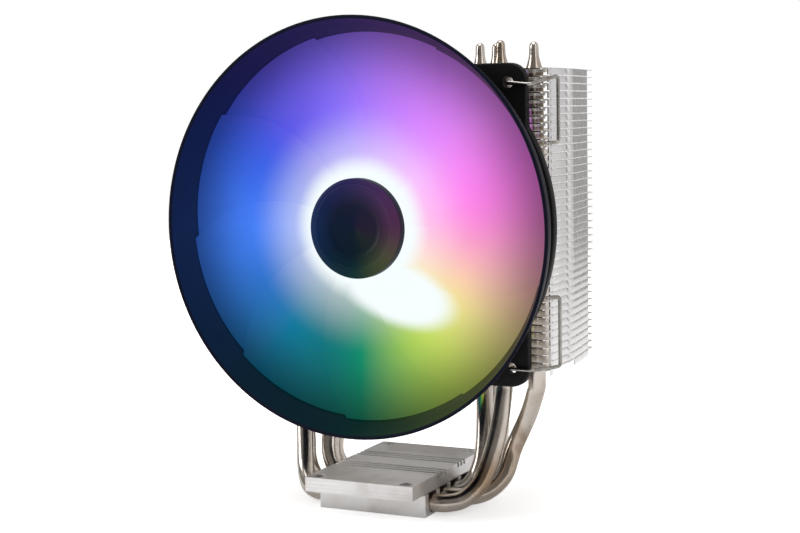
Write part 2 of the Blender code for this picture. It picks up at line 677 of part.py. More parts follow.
make_base_block()
make_base_plate()
make_press_nuts()
make_heat_pipes()
make_fin_stacks()
FAN_AXIS = make_axis("fan_axis")
SPIN_AXIS = make_axis("spin_axis")
make_fan_frame(FAN_AXIS)
make_impeller(SPIN_AXIS)
make_rotor(SPIN_AXIS)
make_stator(FAN_AXIS)
make_wire_clips()
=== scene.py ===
"""A processor's tower cooler, dressed for rendering: base, heat pipes, forty fins, a lit round-framed fan, clips."""

import math

import bmesh
import bpy
import numpy as np
from mathutils import Matrix, Vector


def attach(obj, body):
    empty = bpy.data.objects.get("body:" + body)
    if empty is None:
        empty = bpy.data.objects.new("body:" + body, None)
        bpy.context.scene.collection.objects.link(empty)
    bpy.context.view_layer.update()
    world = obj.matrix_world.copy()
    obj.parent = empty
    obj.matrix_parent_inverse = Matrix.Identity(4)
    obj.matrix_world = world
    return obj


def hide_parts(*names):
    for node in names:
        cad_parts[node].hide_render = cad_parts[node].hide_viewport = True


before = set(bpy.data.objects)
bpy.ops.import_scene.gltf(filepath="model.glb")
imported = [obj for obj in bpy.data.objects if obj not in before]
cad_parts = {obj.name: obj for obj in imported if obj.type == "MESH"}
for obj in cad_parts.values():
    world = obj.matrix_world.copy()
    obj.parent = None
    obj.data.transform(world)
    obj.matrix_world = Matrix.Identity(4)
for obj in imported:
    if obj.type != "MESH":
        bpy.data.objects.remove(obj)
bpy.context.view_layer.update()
MM = 0.001


# ---------------------------------------------------------------- Camera
# A long lens to the right of the fan, a little above its axis and looking slightly down, with
# the small sideways tilt of a hand-levelled tripod.
CAMERA_PLACE = (0.22696, -0.46722, 0.13376)
CAMERA_YAW = math.radians(25.65)
CAMERA_PITCH = math.radians(5.85)
CAMERA_TILT = math.radians(1.07)
CAMERA_LENS = 69.2
CAMERA_SENSOR = 36.0

camera_data = bpy.data.cameras.new("studio_camera")
camera_data.lens = CAMERA_LENS
camera_data.sensor_width = CAMERA_SENSOR
camera_data.clip_start = 0.02
camera_data.clip_end = 20.0
camera = bpy.data.objects.new("studio_camera", camera_data)
bpy.context.scene.collection.objects.link(camera)
ahead = Vector(
    (
        -math.sin(CAMERA_YAW) * math.cos(CAMERA_PITCH),
        math.cos(CAMERA_YAW) * math.cos(CAMERA_PITCH),
        -math.sin(CAMERA_PITCH),
    )
)
level_right = Vector((math.cos(CAMERA_YAW), math.sin(CAMERA_YAW), 0.0))
level_up = level_right.cross(ahead)
camera_right = level_right * math.cos(CAMERA_TILT) - level_up * math.sin(CAMERA_TILT)
camera_up = level_up * math.cos(CAMERA_TILT) + level_right * math.sin(CAMERA_TILT)
camera_axes = Matrix((camera_right, camera_up, -ahead)).transposed().to_4x4()
camera.matrix_world = Matrix.Translation(CAMERA_PLACE) @ camera_axes
bpy.context.scene.camera = camera


# ---------------------------------------------------------------- Studio
# A pale sweep lit by three large soft boxes: a tall one at the right, one overhead, one at the
# left front for the base. The room behind is bright and the room in front is darker.
FLOOR_REACH = 0.9
FLOOR_DROP = 0.00005
FLOOR_TONE = (0.93, 0.93, 0.93, 1.0)
ROOM_FRONT = (0.24, 0.23, 0.22, 1.0)
ROOM_BACK = (0.36, 0.35, 0.34, 1.0)
ROOM_RIGHT = (0.98, 0.97, 0.97, 1.0)
ROOM_STRENGTH = 0.9
PAPER_WHITE = (1.0, 1.0, 1.0, 1.0)
PAPER_GLOW_REACH = (0.10, 0.55)
PAPER_GLOW = (0.55, 1.0)
PAPER_LIGHT_SHARE = 0.10
SOFT_BOXES = (
    ("soft_box_right", (1.10, -0.45, 0.60), (0.0, 0.02, 0.07), (0.5, 1.1), 2.5),
    ("soft_box_above", (-0.10, -0.10, 1.20), (0.0, 0.0, 0.05), (1.2, 1.0), 11.0),
    ("soft_box_left", (-0.95, -0.55, 0.45), (0.0, 0.0, 0.03), (0.4, 0.8), 5.5),
)


def lay_floor():
    """One flat square under the cooler, with the faint mottle of a painted board."""
    reach = FLOOR_REACH
    corners = [(-reach, -reach, 0.0), (reach, -reach, 0.0), (reach, reach, 0.0), (-reach, reach, 0.0)]
    mesh = bpy.data.meshes.new("studio_floor")
    mesh.from_pydata([(x, y, z - FLOOR_DROP) for x, y, z in corners], [], [(0, 1, 2, 3)])
    floor = bpy.data.objects.new("studio_floor", mesh)
    bpy.context.scene.collection.objects.link(floor)

    material = bpy.data.materials.new("painted_board")
    material.use_nodes = True
    nodes = material.node_tree.nodes
    links = material.node_tree.links
    nodes.clear()
    coordinates = nodes.new("ShaderNodeTexCoord")
    coordinates.label = "place on the board"
    coordinates.location = (-800, 0)
    mottle = nodes.new("ShaderNodeTexNoise")
    mottle.label = "faint mottle of the paint"
    mottle.location = (-600, 0)
    mottle.inputs["Scale"].default_value = 3.0
    away = nodes.new("ShaderNodeVectorMath")
    away.label = "distance from the cooler"
    away.location = (-600, -300)
    away.operation = "LENGTH"
    paper_glow = nodes.new("ShaderNodeMapRange")
    paper_glow.label = "paper lit from below, more so farther out"
    paper_glow.location = (-400, -300)
    paper_glow.interpolation_type = "SMOOTHSTEP"
    paper_glow.inputs["From Min"].default_value = PAPER_GLOW_REACH[0]
    paper_glow.inputs["From Max"].default_value = PAPER_GLOW_REACH[1]
    paper_glow.inputs["To Min"].default_value = PAPER_GLOW[0]
    paper_glow.inputs["To Max"].default_value = PAPER_GLOW[1]
    path = nodes.new("ShaderNodeLightPath")
    path.label = "seen directly"
    path.location = (-400, -600)
    seen_share = nodes.new("ShaderNodeMapRange")
    seen_share.label = "full where seen, a tenth as light"
    seen_share.location = (-300, -600)
    seen_share.inputs["To Min"].default_value = PAPER_LIGHT_SHARE
    shown = nodes.new("ShaderNodeMath")
    shown.label = "glow only where seen"
    shown.location = (-200, -400)
    shown.operation = "MULTIPLY"
    tone = nodes.new("ShaderNodeMix")
    tone.label = "two near whites"
    tone.location = (-400, 0)
    tone.data_type = "RGBA"
    tone.inputs["A"].default_value = FLOOR_TONE
    tone.inputs["B"].default_value = (0.95, 0.95, 0.95, 1.0)
    shader = nodes.new("ShaderNodeBsdfPrincipled")
    shader.label = "matt board"
    shader.location = (-200, 0)
    shader.inputs["Roughness"].default_value = 0.9
    shader.inputs["Specular IOR Level"].default_value = 0.1
    shader.inputs["Emission Color"].default_value = PAPER_WHITE
    output = nodes.new("ShaderNodeOutputMaterial")
    output.label = "board"
    output.location = (100, 0)
    links.new(coordinates.outputs["Object"], away.inputs[0])
    links.new(away.outputs["Value"], paper_glow.inputs["Value"])
    links.new(paper_glow.outputs["Result"], shown.inputs[0])
    links.new(path.outputs["Is Camera Ray"], seen_share.inputs["Value"])
    links.new(seen_share.outputs["Result"], shown.inputs[1])
    links.new(shown.outputs["Value"], shader.inputs["Emission Strength"])
    links.new(coordinates.outputs["Object"], mottle.inputs["Vector"])
    links.new(mottle.outputs["Fac"], tone.inputs["Factor"])
    links.new(tone.outputs["Result"], shader.inputs["Base Color"])
    links.new(shader.outputs["BSDF"], output.inputs["Surface"])
    mesh.materials.append(material)


def light_room():
    """The room: white where it is seen directly; as a light it is dim in front, grey behind, bright at the right."""
    world = bpy.data.worlds.new("studio_room")
    bpy.context.scene.world = world
    world.use_nodes = True
    nodes = world.node_tree.nodes
    links = world.node_tree.links
    nodes.clear()
    direction = nodes.new("ShaderNodeTexCoord")
    direction.label = "direction in the room"
    direction.location = (-1000, 0)
    split = nodes.new("ShaderNodeSeparateXYZ")
    split.label = "front to back"
    split.location = (-800, 0)
    depth = nodes.new("ShaderNodeMapRange")
    depth.label = "dark front to bright back"
    depth.location = (-600, 0)
    depth.interpolation_type = "SMOOTHSTEP"
    depth.inputs["From Min"].default_value = -0.6
    depth.inputs["From Max"].default_value = 0.7
    walls = nodes.new("ShaderNodeMix")
    walls.label = "wall tones"
    walls.location = (-400, 0)
    walls.data_type = "RGBA"
    walls.inputs["A"].default_value = ROOM_FRONT
    walls.inputs["B"].default_value = ROOM_BACK
    sideways = nodes.new("ShaderNodeMapRange")
    sideways.label = "how far to the right"
    sideways.location = (-600, -300)
    sideways.interpolation_type = "SMOOTHSTEP"
    sideways.inputs["From Min"].default_value = 0.20
    sideways.inputs["From Max"].default_value = 0.45
    right_wall = nodes.new("ShaderNodeMix")
    right_wall.label = "bright right wall"
    right_wall.location = (-300, 200)
    right_wall.data_type = "RGBA"
    right_wall.inputs["B"].default_value = ROOM_RIGHT
    right_share = nodes.new("ShaderNodeMath")
    right_share.label = "right wall ends in front"
    right_share.location = (-400, -300)
    right_share.operation = "MULTIPLY"
    lit = nodes.new("ShaderNodeBackground")
    lit.label = "light from the walls"
    lit.location = (-200, 0)
    lit.inputs["Strength"].default_value = ROOM_STRENGTH
    seen = nodes.new("ShaderNodeBackground")
    seen.label = "white paper behind"
    seen.location = (-200, -200)
    seen.inputs["Color"].default_value = PAPER_WHITE
    path = nodes.new("ShaderNodeLightPath")
    path.label = "seen or lighting"
    path.location = (-200, 300)
    choice = nodes.new("ShaderNodeMixShader")
    choice.label = "paper or walls"
    choice.location = (0, 0)
    output = nodes.new("ShaderNodeOutputWorld")
    output.label = "room"
    output.location = (200, 0)
    links.new(direction.outputs["Generated"], split.inputs["Vector"])
    links.new(split.outputs["Y"], depth.inputs["Value"])
    links.new(depth.outputs["Result"], walls.inputs["Factor"])
    links.new(split.outputs["X"], sideways.inputs["Value"])
    links.new(sideways.outputs["Result"], right_share.inputs[0])
    links.new(depth.outputs["Result"], right_share.inputs[1])
    links.new(right_share.outputs["Value"], right_wall.inputs["Factor"])
    links.new(walls.outputs["Result"], right_wall.inputs["A"])
    links.new(right_wall.outputs["Result"], lit.inputs["Color"])
    links.new(path.outputs["Is Camera Ray"], choice.inputs["Fac"])
    links.new(lit.outputs["Background"], choice.inputs[1])
    links.new(seen.outputs["Background"], choice.inputs[2])
    links.new(choice.outputs["Shader"], output.inputs["Surface"])


def hang_soft_boxes():
    for name, place, target, size, power in SOFT_BOXES:
        lamp = bpy.data.lights.new(name, "AREA")
        lamp.shape = "RECTANGLE"
        lamp.size = size[0]
        lamp.size_y = size[1]
        lamp.energy = power
        box = bpy.data.objects.new(name, lamp)
        bpy.context.scene.collection.objects.link(box)
        box.location = place
        aim = Vector(target) - Vector(place)
        box.rotation_euler = aim.to_track_quat("-Z", "Y").to_euler()


lay_floor()
light_room()
hang_soft_boxes()
bpy.context.scene.view_settings.view_transform = "Standard"


# ---------------------------------------------------------------- Base block
# The square block that sits on the processor: an extruded and milled aluminium bar with four
# round-bottomed channels, in which the heat pipes are pressed and soldered.
BLOCK_HALF = 19.6 * MM
BLOCK_TOP = 7.6 * MM
CHANNEL_PLACES = (-13.5 * MM, -4.5 * MM, 4.5 * MM, 13.5 * MM)
CHANNEL_AXIS = 4.0 * MM
CHANNEL_RADIUS = 3.2 * MM
CHANNEL_STEPS = 19
BLOCK_EDGE = 0.25 * MM
MILLED_BRIGHT = (0.83, 0.82, 0.815, 1.0)
MILLED_DULL = (0.64, 0.60, 0.575, 1.0)


def build_piece(name, points, faces, material, crease=38.0):
    """A mesh at the world's origin from arrays of points and faces: doubles merged, faces turned outwards."""
    mesh = bpy.data.meshes.new(name)
    mesh.from_pydata(np.asarray(points, float).reshape(-1, 3).tolist(), [], faces)
    shell = bmesh.new()
    shell.from_mesh(mesh)
    bmesh.ops.remove_doubles(shell, verts=shell.verts, dist=1e-7)
    bmesh.ops.dissolve_degenerate(shell, edges=shell.edges, dist=1e-8)
    bmesh.ops.recalc_face_normals(shell, faces=shell.faces)
    shell.to_mesh(mesh)
    shell.free()
    mesh.shade_smooth()
    mesh.set_sharp_from_angle(angle=math.radians(crease))
    mesh.materials.append(material)
    piece = bpy.data.objects.new(name, mesh)
    bpy.context.scene.collection.objects.link(piece)
    return piece


def grid_quads(rows, columns, ring_rows=False, ring_columns=False):
    """Corner numbers of the quads between neighbouring rows and columns; a ring joins its last line to its first."""
    row, column = np.meshgrid(
        np.arange(rows if ring_rows else rows - 1),
        np.arange(columns if ring_columns else columns - 1),
        indexing="ij",
    )
    next_row = (row + 1) % rows
    next_column = (column + 1) % columns
    corners = (
        row * columns + column,
        row * columns + next_column,
        next_row * columns + next_column,
        next_row * columns + column,
    )
    return np.stack(corners, axis=-1).reshape(-1, 4).tolist()


def bar_along_x(outline, half):
    """An outline in Y and Z carried along X from -half to half, with a flat face at either end."""
    outline = np.asarray(outline, float)
    count = len(outline)
    ends = np.array([-half, half])
    points = np.empty((2, count, 3))
    points[..., 0] = ends[:, None]
    points[..., 1:] = outline[None]
    faces = grid_quads(2, count, ring_columns=True)
    faces.append(list(range(count)))
    faces.append(list(range(count, 2 * count)))
    return points, faces


def block_outline():
    """The block's cross-section: a rectangle with four channels in its top, each a straight-sided half circle."""
    angle = np.linspace(np.pi, 2 * np.pi, CHANNEL_STEPS)
    channels = []
    for centre in CHANNEL_PLACES:
        dip = np.stack(
            [centre + CHANNEL_RADIUS * np.cos(angle), CHANNEL_AXIS + CHANNEL_RADIUS * np.sin(angle)], axis=-1
        )
        left = [[centre - CHANNEL_RADIUS, BLOCK_TOP]]
        right = [[centre + CHANNEL_RADIUS, BLOCK_TOP]]
        channels.append(np.concatenate([left, dip, right]))
    bottom = [[BLOCK_HALF, BLOCK_TOP], [BLOCK_HALF, 0.0], [-BLOCK_HALF, 0.0], [-BLOCK_HALF, BLOCK_TOP]]
    return np.concatenate([*channels, bottom])


def round_edges(piece, width, segments=2, angle=40.0):
    """Breaks a piece's sharp edges by a small radius, as deburring does."""
    edge = piece.modifiers.new("deburred edges", "BEVEL")
    edge.width = width
    edge.segments = segments
    edge.limit_method = "ANGLE"
    edge.angle_limit = math.radians(angle)
    edge.harden_normals = True
    return piece


def worked_metal(
    name, bright, dull, roughness, marks, depth, patch=60.0, patch_range=(0.42, 0.68), specks=0.0, trapped=0.0
):
    """Bare or plated metal with tool marks and slow patches of a second tone.

    marks is how many tool marks there are to a metre along X, Y and Z, so a small number draws them out that way.
    roughness is a pair, from polished to dull, depth is the marks' relief in metres, specks darkens small spots, and
    trapped is the strength of a painted warm glow on level sheets, standing for the light caught between them.
    """
    material = bpy.data.materials.new(name)
    material.use_nodes = True
    nodes = material.node_tree.nodes
    links = material.node_tree.links
    nodes.clear()

    place_frame = nodes.new("NodeFrame")
    place_frame.label = "Place on the piece"
    tone_frame = nodes.new("NodeFrame")
    tone_frame.label = "Colour: clean metal and stain"
    finish_frame = nodes.new("NodeFrame")
    finish_frame.label = "Polish and relief of the tool marks"

    coordinates = nodes.new("ShaderNodeTexCoord")
    coordinates.label = "metres on the piece"
    coordinates.parent = place_frame
    coordinates.location = (-1200, 0)
    drawn_out = nodes.new("ShaderNodeMapping")
    drawn_out.label = "draws the marks out"
    drawn_out.parent = place_frame
    drawn_out.location = (-1000, -200)
    drawn_out.inputs["Scale"].default_value = marks

    tool_marks = nodes.new("ShaderNodeTexNoise")
    tool_marks.label = "tool marks"
    tool_marks.parent = finish_frame
    tool_marks.location = (-800, -300)
    tool_marks.inputs["Scale"].default_value = 1.0
    tool_marks.inputs["Detail"].default_value = 4.0
    tool_marks.inputs["Roughness"].default_value = 0.6
    polish = nodes.new("ShaderNodeMapRange")
    polish.label = "polished to dull"
    polish.parent = finish_frame
    polish.location = (-400, -300)
    polish.inputs["From Min"].default_value = 0.3
    polish.inputs["From Max"].default_value = 0.7
    polish.inputs["To Min"].default_value = roughness[0]
    polish.inputs["To Max"].default_value = roughness[1]
    relief = nodes.new("ShaderNodeBump")
    relief.label = "depth of the marks"
    relief.parent = finish_frame
    relief.location = (-400, -600)
    relief.inputs["Strength"].default_value = 0.6
    relief.inputs["Distance"].default_value = depth

    patches = nodes.new("ShaderNodeTexNoise")
    patches.label = "where the stain lies"
    patches.parent = tone_frame
    patches.location = (-800, 100)
    patches.inputs["Scale"].default_value = patch
    patches.inputs["Detail"].default_value = 5.0
    patches.inputs["Distortion"].default_value = 0.6
    stain_edge = nodes.new("ShaderNodeMapRange")
    stain_edge.label = "edge of the stain"
    stain_edge.parent = tone_frame
    stain_edge.location = (-600, 100)
    stain_edge.interpolation_type = "SMOOTHSTEP"
    stain_edge.inputs["From Min"].default_value = patch_range[0]
    stain_edge.inputs["From Max"].default_value = patch_range[1]
    tones = nodes.new("ShaderNodeMix")
    tones.label = "clean to stained"
    tones.parent = tone_frame
    tones.location = (-400, 100)
    tones.data_type = "RGBA"
    tones.inputs["A"].default_value = bright
    tones.inputs["B"].default_value = dull
    speck_noise = nodes.new("ShaderNodeTexNoise")
    speck_noise.label = "specks"
    speck_noise.parent = tone_frame
    speck_noise.location = (-800, 400)
    speck_noise.inputs["Scale"].default_value = 900.0
    speck_noise.inputs["Detail"].default_value = 2.0
    speck_size = nodes.new("ShaderNodeMapRange")
    speck_size.label = "only the largest specks"
    speck_size.parent = tone_frame
    speck_size.location = (-600, 400)
    speck_size.inputs["From Min"].default_value = 0.62
    speck_size.inputs["From Max"].default_value = 0.74
    speck_size.inputs["To Max"].default_value = specks
    specked = nodes.new("ShaderNodeMix")
    specked.label = "specks over the tones"
    specked.parent = tone_frame
    specked.location = (-200, 200)
    specked.data_type = "RGBA"
    specked.inputs["B"].default_value = (0.09, 0.075, 0.065, 1.0)

    shader = nodes.new("ShaderNodeBsdfPrincipled")
    shader.label = "metal"
    shader.location = (0, 0)
    shader.inputs["Metallic"].default_value = 1.0
    shader.inputs["Emission Color"].default_value = (1.0, 0.90, 0.78, 1.0)
    # A painted warm glow on the level sheets: emission standing for the light caught between the fins.
    if trapped:
        facing = nodes.new("ShaderNodeNewGeometry")
        facing.label = "which way the sheet faces"
        facing.parent = place_frame
        level = nodes.new("ShaderNodeSeparateXYZ")
        level.label = "how level it lies"
        level.parent = place_frame
        either = nodes.new("ShaderNodeMath")
        either.label = "up or down alike"
        either.parent = place_frame
        either.operation = "ABSOLUTE"
        caught = nodes.new("ShaderNodeMapRange")
        caught.label = "light caught between level sheets"
        caught.parent = tone_frame
        caught.inputs["From Min"].default_value = 0.9
        caught.inputs["To Max"].default_value = trapped
        links.new(facing.outputs["Normal"], level.inputs["Vector"])
        links.new(level.outputs["Z"], either.inputs[0])
        links.new(either.outputs["Value"], caught.inputs["Value"])
        links.new(caught.outputs["Result"], shader.inputs["Emission Strength"])
    output = nodes.new("ShaderNodeOutputMaterial")
    output.label = name
    output.location = (300, 0)

    links.new(coordinates.outputs["Object"], drawn_out.inputs["Vector"])
    links.new(drawn_out.outputs["Vector"], tool_marks.inputs["Vector"])
    links.new(tool_marks.outputs["Fac"], polish.inputs["Value"])
    links.new(tool_marks.outputs["Fac"], relief.inputs["Height"])
    links.new(coordinates.outputs["Object"], patches.inputs["Vector"])
    links.new(patches.outputs["Fac"], stain_edge.inputs["Value"])
    links.new(stain_edge.outputs["Result"], tones.inputs["Factor"])
    links.new(coordinates.outputs["Object"], speck_noise.inputs["Vector"])
    links.new(speck_noise.outputs["Fac"], speck_size.inputs["Value"])
    links.new(speck_size.outputs["Result"], specked.inputs["Factor"])
    links.new(tones.outputs["Result"], specked.inputs["A"])
    links.new(specked.outputs["Result"], shader.inputs["Base Color"])
    links.new(polish.outputs["Result"], shader.inputs["Roughness"])
    links.new(relief.outputs["Normal"], shader.inputs["Normal"])
    links.new(shader.outputs["BSDF"], output.inputs["Surface"])
    return material


milled_aluminium = worked_metal(
    "milled_aluminium", MILLED_BRIGHT, MILLED_DULL, (0.34, 0.50), (40.0, 1500.0, 1500.0), 0.00003, 45.0, (0.45, 0.8)
)
block = build_piece("pipe_block", *bar_along_x(block_outline(), BLOCK_HALF), milled_aluminium)
round_edges(block, BLOCK_EDGE)
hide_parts("base_block")
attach(block, "cooler")


# ---------------------------------------------------------------- Clamping plate
# The longer plate on top of the pipes, of extruded aluminium sawn to length: two bands of three
# grooves run across it, its ends show fine extrusion lines, and a press nut sits in each corner.
PLATE_HALF_X = 19.7 * MM
PLATE_HALF_Y = 29.5 * MM
PLATE_LOW = 7.9 * MM
PLATE_TOP = 12.7 * MM
GROOVE_WIDTH = 1.4 * MM
GROOVE_DEPTH = 1.6 * MM
GROOVE_PITCH = 2.6 * MM
GROOVE_BANDS = (-6.0 * MM, 10.2 * MM)
GROOVES_IN_BAND = (-1, 0, 1)
END_LINES = (8.9 * MM, 9.9 * MM, 11.2 * MM)
END_LINE_DEPTH = 0.14 * MM
END_LINE_HALF = 0.10 * MM
NUT_X = 16.0 * MM
NUT_Y = 26.5 * MM
NUT_HOLE_RADIUS = 2.15 * MM
PLATE_EDGE = 0.18 * MM


def plate_outline():
    """The plate's cross-section: a rectangle with six square grooves in its top and fine V lines down both ends."""
    top = [[-PLATE_HALF_Y, PLATE_TOP]]
    for band in GROOVE_BANDS:
        for index in GROOVES_IN_BAND:
            left = band + index * GROOVE_PITCH - GROOVE_WIDTH / 2
            right = left + GROOVE_WIDTH
            floor = PLATE_TOP - GROOVE_DEPTH
            top += [[left, PLATE_TOP], [left, floor], [right, floor], [right, PLATE_TOP]]
    top.append([PLATE_HALF_Y, PLATE_TOP])
    end = []
    for line in END_LINES:
        end += [[0.0, line - END_LINE_HALF], [-END_LINE_DEPTH, line], [0.0, line + END_LINE_HALF]]
    end = np.array(end)
    rear = end[::-1] + [PLATE_HALF_Y, 0.0]
    front = end * [-1.0, 1.0] - [PLATE_HALF_Y, 0.0]
    corners = [[PLATE_HALF_Y, PLATE_LOW], [-PLATE_HALF_Y, PLATE_LOW]]
    return np.concatenate([top, rear, corners, front])


def turned_about(axis_place, profile, steps, axis="Z"):
    """A closed profile of (radius, height) turned a full circle about an axis through axis_place.

    The axis is Z, or for the fan's pieces "fan", whose height is measured along -Y.
    """
    profile = np.asarray(profile, float)
    angle = np.linspace(0.0, 2 * np.pi, steps, endpoint=False)
    across = profile[None, :, 0] * np.cos(angle)[:, None]
    round_ = profile[None, :, 0] * np.sin(angle)[:, None]
    along = np.broadcast_to(profile[None, :, 1], across.shape)
    if axis == "Z":
        points = np.stack([across, round_, along], axis=-1)
    else:
        points = np.stack([across, -along, round_], axis=-1)
    return points + np.asarray(axis_place), grid_quads(steps, len(profile), True, True)


def cut_away(piece, cutters):
    """Takes the cutters out of a piece and keeps the result as its mesh."""
    for cutter in cutters:
        hole = piece.modifiers.new("hole", "BOOLEAN")
        hole.operation = "DIFFERENCE"
        hole.solver = "EXACT"
        hole.object = cutter
    bpy.context.view_layer.update()
    graph = bpy.context.evaluated_depsgraph_get()
    mesh = bpy.data.meshes.new_from_object(piece.evaluated_get(graph))
    piece.modifiers.clear()
    piece.data = mesh
    for cutter in cutters:
        bpy.data.objects.remove(cutter)
    return piece


def drill(name, place, radius, low, high, axis="Z", steps=32):
    """A solid rod in the shape of a drilled hole."""
    profile = [(0.0, low), (radius, low), (radius, high), (0.0, high)]
    points, faces = turned_about(place, profile, steps, axis)
    return build_piece(name, points, faces, milled_aluminium)


plate = build_piece("clamping_plate", *bar_along_x(plate_outline(), PLATE_HALF_X), milled_aluminium)
nut_places = [(x, y) for x in (-NUT_X, NUT_X) for y in (-NUT_Y, NUT_Y)]
nut_holes = [drill("nut_hole", (x, y, 0.0), NUT_HOLE_RADIUS, 0.0, 2 * PLATE_TOP) for x, y in nut_places]
cut_away(plate, nut_holes)
plate.data.shade_smooth()
plate.data.set_sharp_from_angle(angle=math.radians(30.0))
round_edges(plate, PLATE_EDGE, 2, 50.0)
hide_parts("base_plate")
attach(plate, "cooler")


# ---------------------------------------------------------------- Press nuts
# Four zinc-plated steel nuts pressed into the plate, with a turned collar and a threaded bore
# for the screws of the mounting bracket.
NUT_OUTER = 1.95 * MM
NUT_BORE = 1.25 * MM
NUT_LOW = 8.2 * MM
NUT_TOP = 12.4 * MM
NUT_CHAMFER = 0.35 * MM
THREAD_PITCH = 0.5 * MM
THREAD_DEPTH = 0.14 * MM

ZINC_BRIGHT = (0.62, 0.63, 0.64, 1.0)
ZINC_DULL = (0.42, 0.41, 0.40, 1.0)
zinc_plate = worked_metal("zinc_plate", ZINC_BRIGHT, ZINC_DULL, (0.25, 0.42), (900.0, 900.0, 900.0), 0.00001, 400.0)
thread_places = np.arange(NUT_LOW + NUT_CHAMFER, NUT_TOP - NUT_CHAMFER, THREAD_PITCH / 2)
thread_radii = NUT_BORE + THREAD_DEPTH * (np.arange(len(thread_places)) % 2)
nut_profile = (
    [(NUT_OUTER - NUT_CHAMFER, NUT_TOP), (NUT_OUTER, NUT_TOP - NUT_CHAMFER), (NUT_OUTER, NUT_LOW)]
    + [(NUT_BORE + NUT_CHAMFER, NUT_LOW)]
    + list(zip(thread_radii, thread_places))
    + [(NUT_BORE, NUT_TOP - NUT_CHAMFER), (NUT_BORE + NUT_CHAMFER, NUT_TOP)]
)
cad_nut_places = ((-NUT_X, -NUT_Y), (NUT_X, -NUT_Y), (NUT_X, NUT_Y), (-NUT_X, NUT_Y))
for number, (x, y) in enumerate(cad_nut_places, 1):
    points, faces = turned_about((x, y, 0.0), nut_profile, 28)
    nut = build_piece(f"press_nut_{number}", points, faces, zinc_plate)
    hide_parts(f"bracket_nut_{number}")
    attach(nut, "cooler")


# ---------------------------------------------------------------- Heat pipes
# Four copper tubes of 6 mm, nickel plated and bent to a U: pressed in the block's channels below,
# up through the fins on both sides, and crimped and sealed to a blunt tip above them.
PIPE_RADIUS = 3.0 * MM
PIPE_TIP_TOPS = (155.5, 154.7, 155.2, 155.4)
PIPE_STRAIGHT_FROM = 41.0
PIPE_TOWER_PLACES = ((38.2, 4.9), (49.0, 7.0), (27.0, 14.5), (28.5, 25.3))
PIPE_BENDS = (
    ((24.4, -12.9, 4.0), (29.3, -9.4, 5.2), (33.2, -4.8, 9.8), (35.4, -0.9, 17.8), (37.2, 2.7, 29.1)),
    ((26.2, -3.3, 4.0), (32.8, 0.9, 5.4), (37.6, 5.2, 10.6), (39.9, 8.4, 19.5), (45.2, 8.6, 31.0)),
    ((22.6, 4.6, 4.3), (25.8, 4.9, 6.8), (28.2, 5.2, 11.0), (29.4, 6.6, 17.0), (29.0, 9.6, 28.0)),
    ((24.0, 13.3, 4.1), (28.0, 13.0, 6.4), (30.8, 13.4, 11.0), (31.6, 15.6, 17.4), (30.6, 20.2, 28.5)),
)
PIPE_TIP_DROPS = (0.0, 0.08, 0.3, 0.7, 1.3, 2.4, 4.0, 4.8, 5.8, 7.0, 8.2, 9.4, 10.2)
PIPE_TIP_RADII = (0.02, 0.17, 0.30, 0.41, 0.48, 0.505, 0.52, 0.55, 0.62, 0.73, 0.85, 0.98, 1.0)
PIPE_SIDES = 32
NICKEL_CLEAN = (0.58, 0.53, 0.475, 1.0)
NICKEL_WARM = (0.33, 0.24, 0.165, 1.0)


def smooth_path(knots, steps):
    """Points on the Catmull-Rom curve through the knots, steps to each span: each span is a cubic in t whose
    slopes at its ends are half the step between its neighbours."""
    knots = np.asarray(knots, float)
    padded = np.concatenate([[2 * knots[0] - knots[1]], knots, [2 * knots[-1] - knots[-2]]])
    before, start, end, after = padded[:-3], padded[1:-2], padded[2:-1], padded[3:]
    t = np.arange(steps)[None, :, None] / steps
    before, start, end, after = (knot[:, None, :] for knot in (before, start, end, after))
    span = 0.5 * (
        2 * start
        + (end - before) * t
        + (2 * before - 5 * start + 4 * end - after) * t**2
        + (3 * start - before - 3 * end + after) * t**3
    )
    return np.concatenate([span.reshape(-1, 3), knots[-1:]])


def rod_along(path, radii, sides):
    """A round section carried along a path: at each station the circle stands square to the path's direction,
    and both ends are closed by a face."""
    path = np.asarray(path, float)
    radii = np.broadcast_to(radii, len(path))
    direction = np.gradient(path, axis=0)
    direction /= np.linalg.norm(direction, axis=1, keepdims=True)
    lean = np.cross(direction, [0.37, 0.61, -0.70])
    lean /= np.linalg.norm(lean, axis=1, keepdims=True)
    other = np.cross(direction, lean)
    angle = np.linspace(0.0, 2 * np.pi, sides, endpoint=False)
    circle = lean[:, None] * np.cos(angle)[None, :, None] + other[:, None] * np.sin(angle)[None, :, None]
    points = path[:, None] + circle * radii[:, None, None]
    stations = len(path)
    faces = grid_quads(stations, sides, ring_columns=True)
    faces.append(list(range(sides)))
    faces.append(list(range((stations - 1) * sides, stations * sides)))
    return points, faces


def pipe_path(index):
    """Half a pipe from its tip down to the block's edge, mirrored to the other tip, with a radius at each station."""
    x, y = PIPE_TOWER_PLACES[index]
    drops = np.array(PIPE_TIP_DROPS)
    tip = np.stack([np.full(len(drops), x), np.full(len(drops), y), PIPE_TIP_TOPS[index] - drops], axis=-1)
    base_edge = (BLOCK_HALF / MM, CHANNEL_PLACES[index] / MM, CHANNEL_AXIS / MM)
    knots = [(x, y, PIPE_STRAIGHT_FROM), *PIPE_BENDS[index][::-1], base_edge]
    bend = smooth_path(knots, 8)
    half = np.concatenate([tip, bend]) * MM
    radii = np.concatenate([PIPE_TIP_RADII, np.ones(len(bend))]) * PIPE_RADIUS
    return np.concatenate([half, half[::-1] * [-1.0, 1.0, 1.0]]), np.concatenate([radii, radii[::-1]])


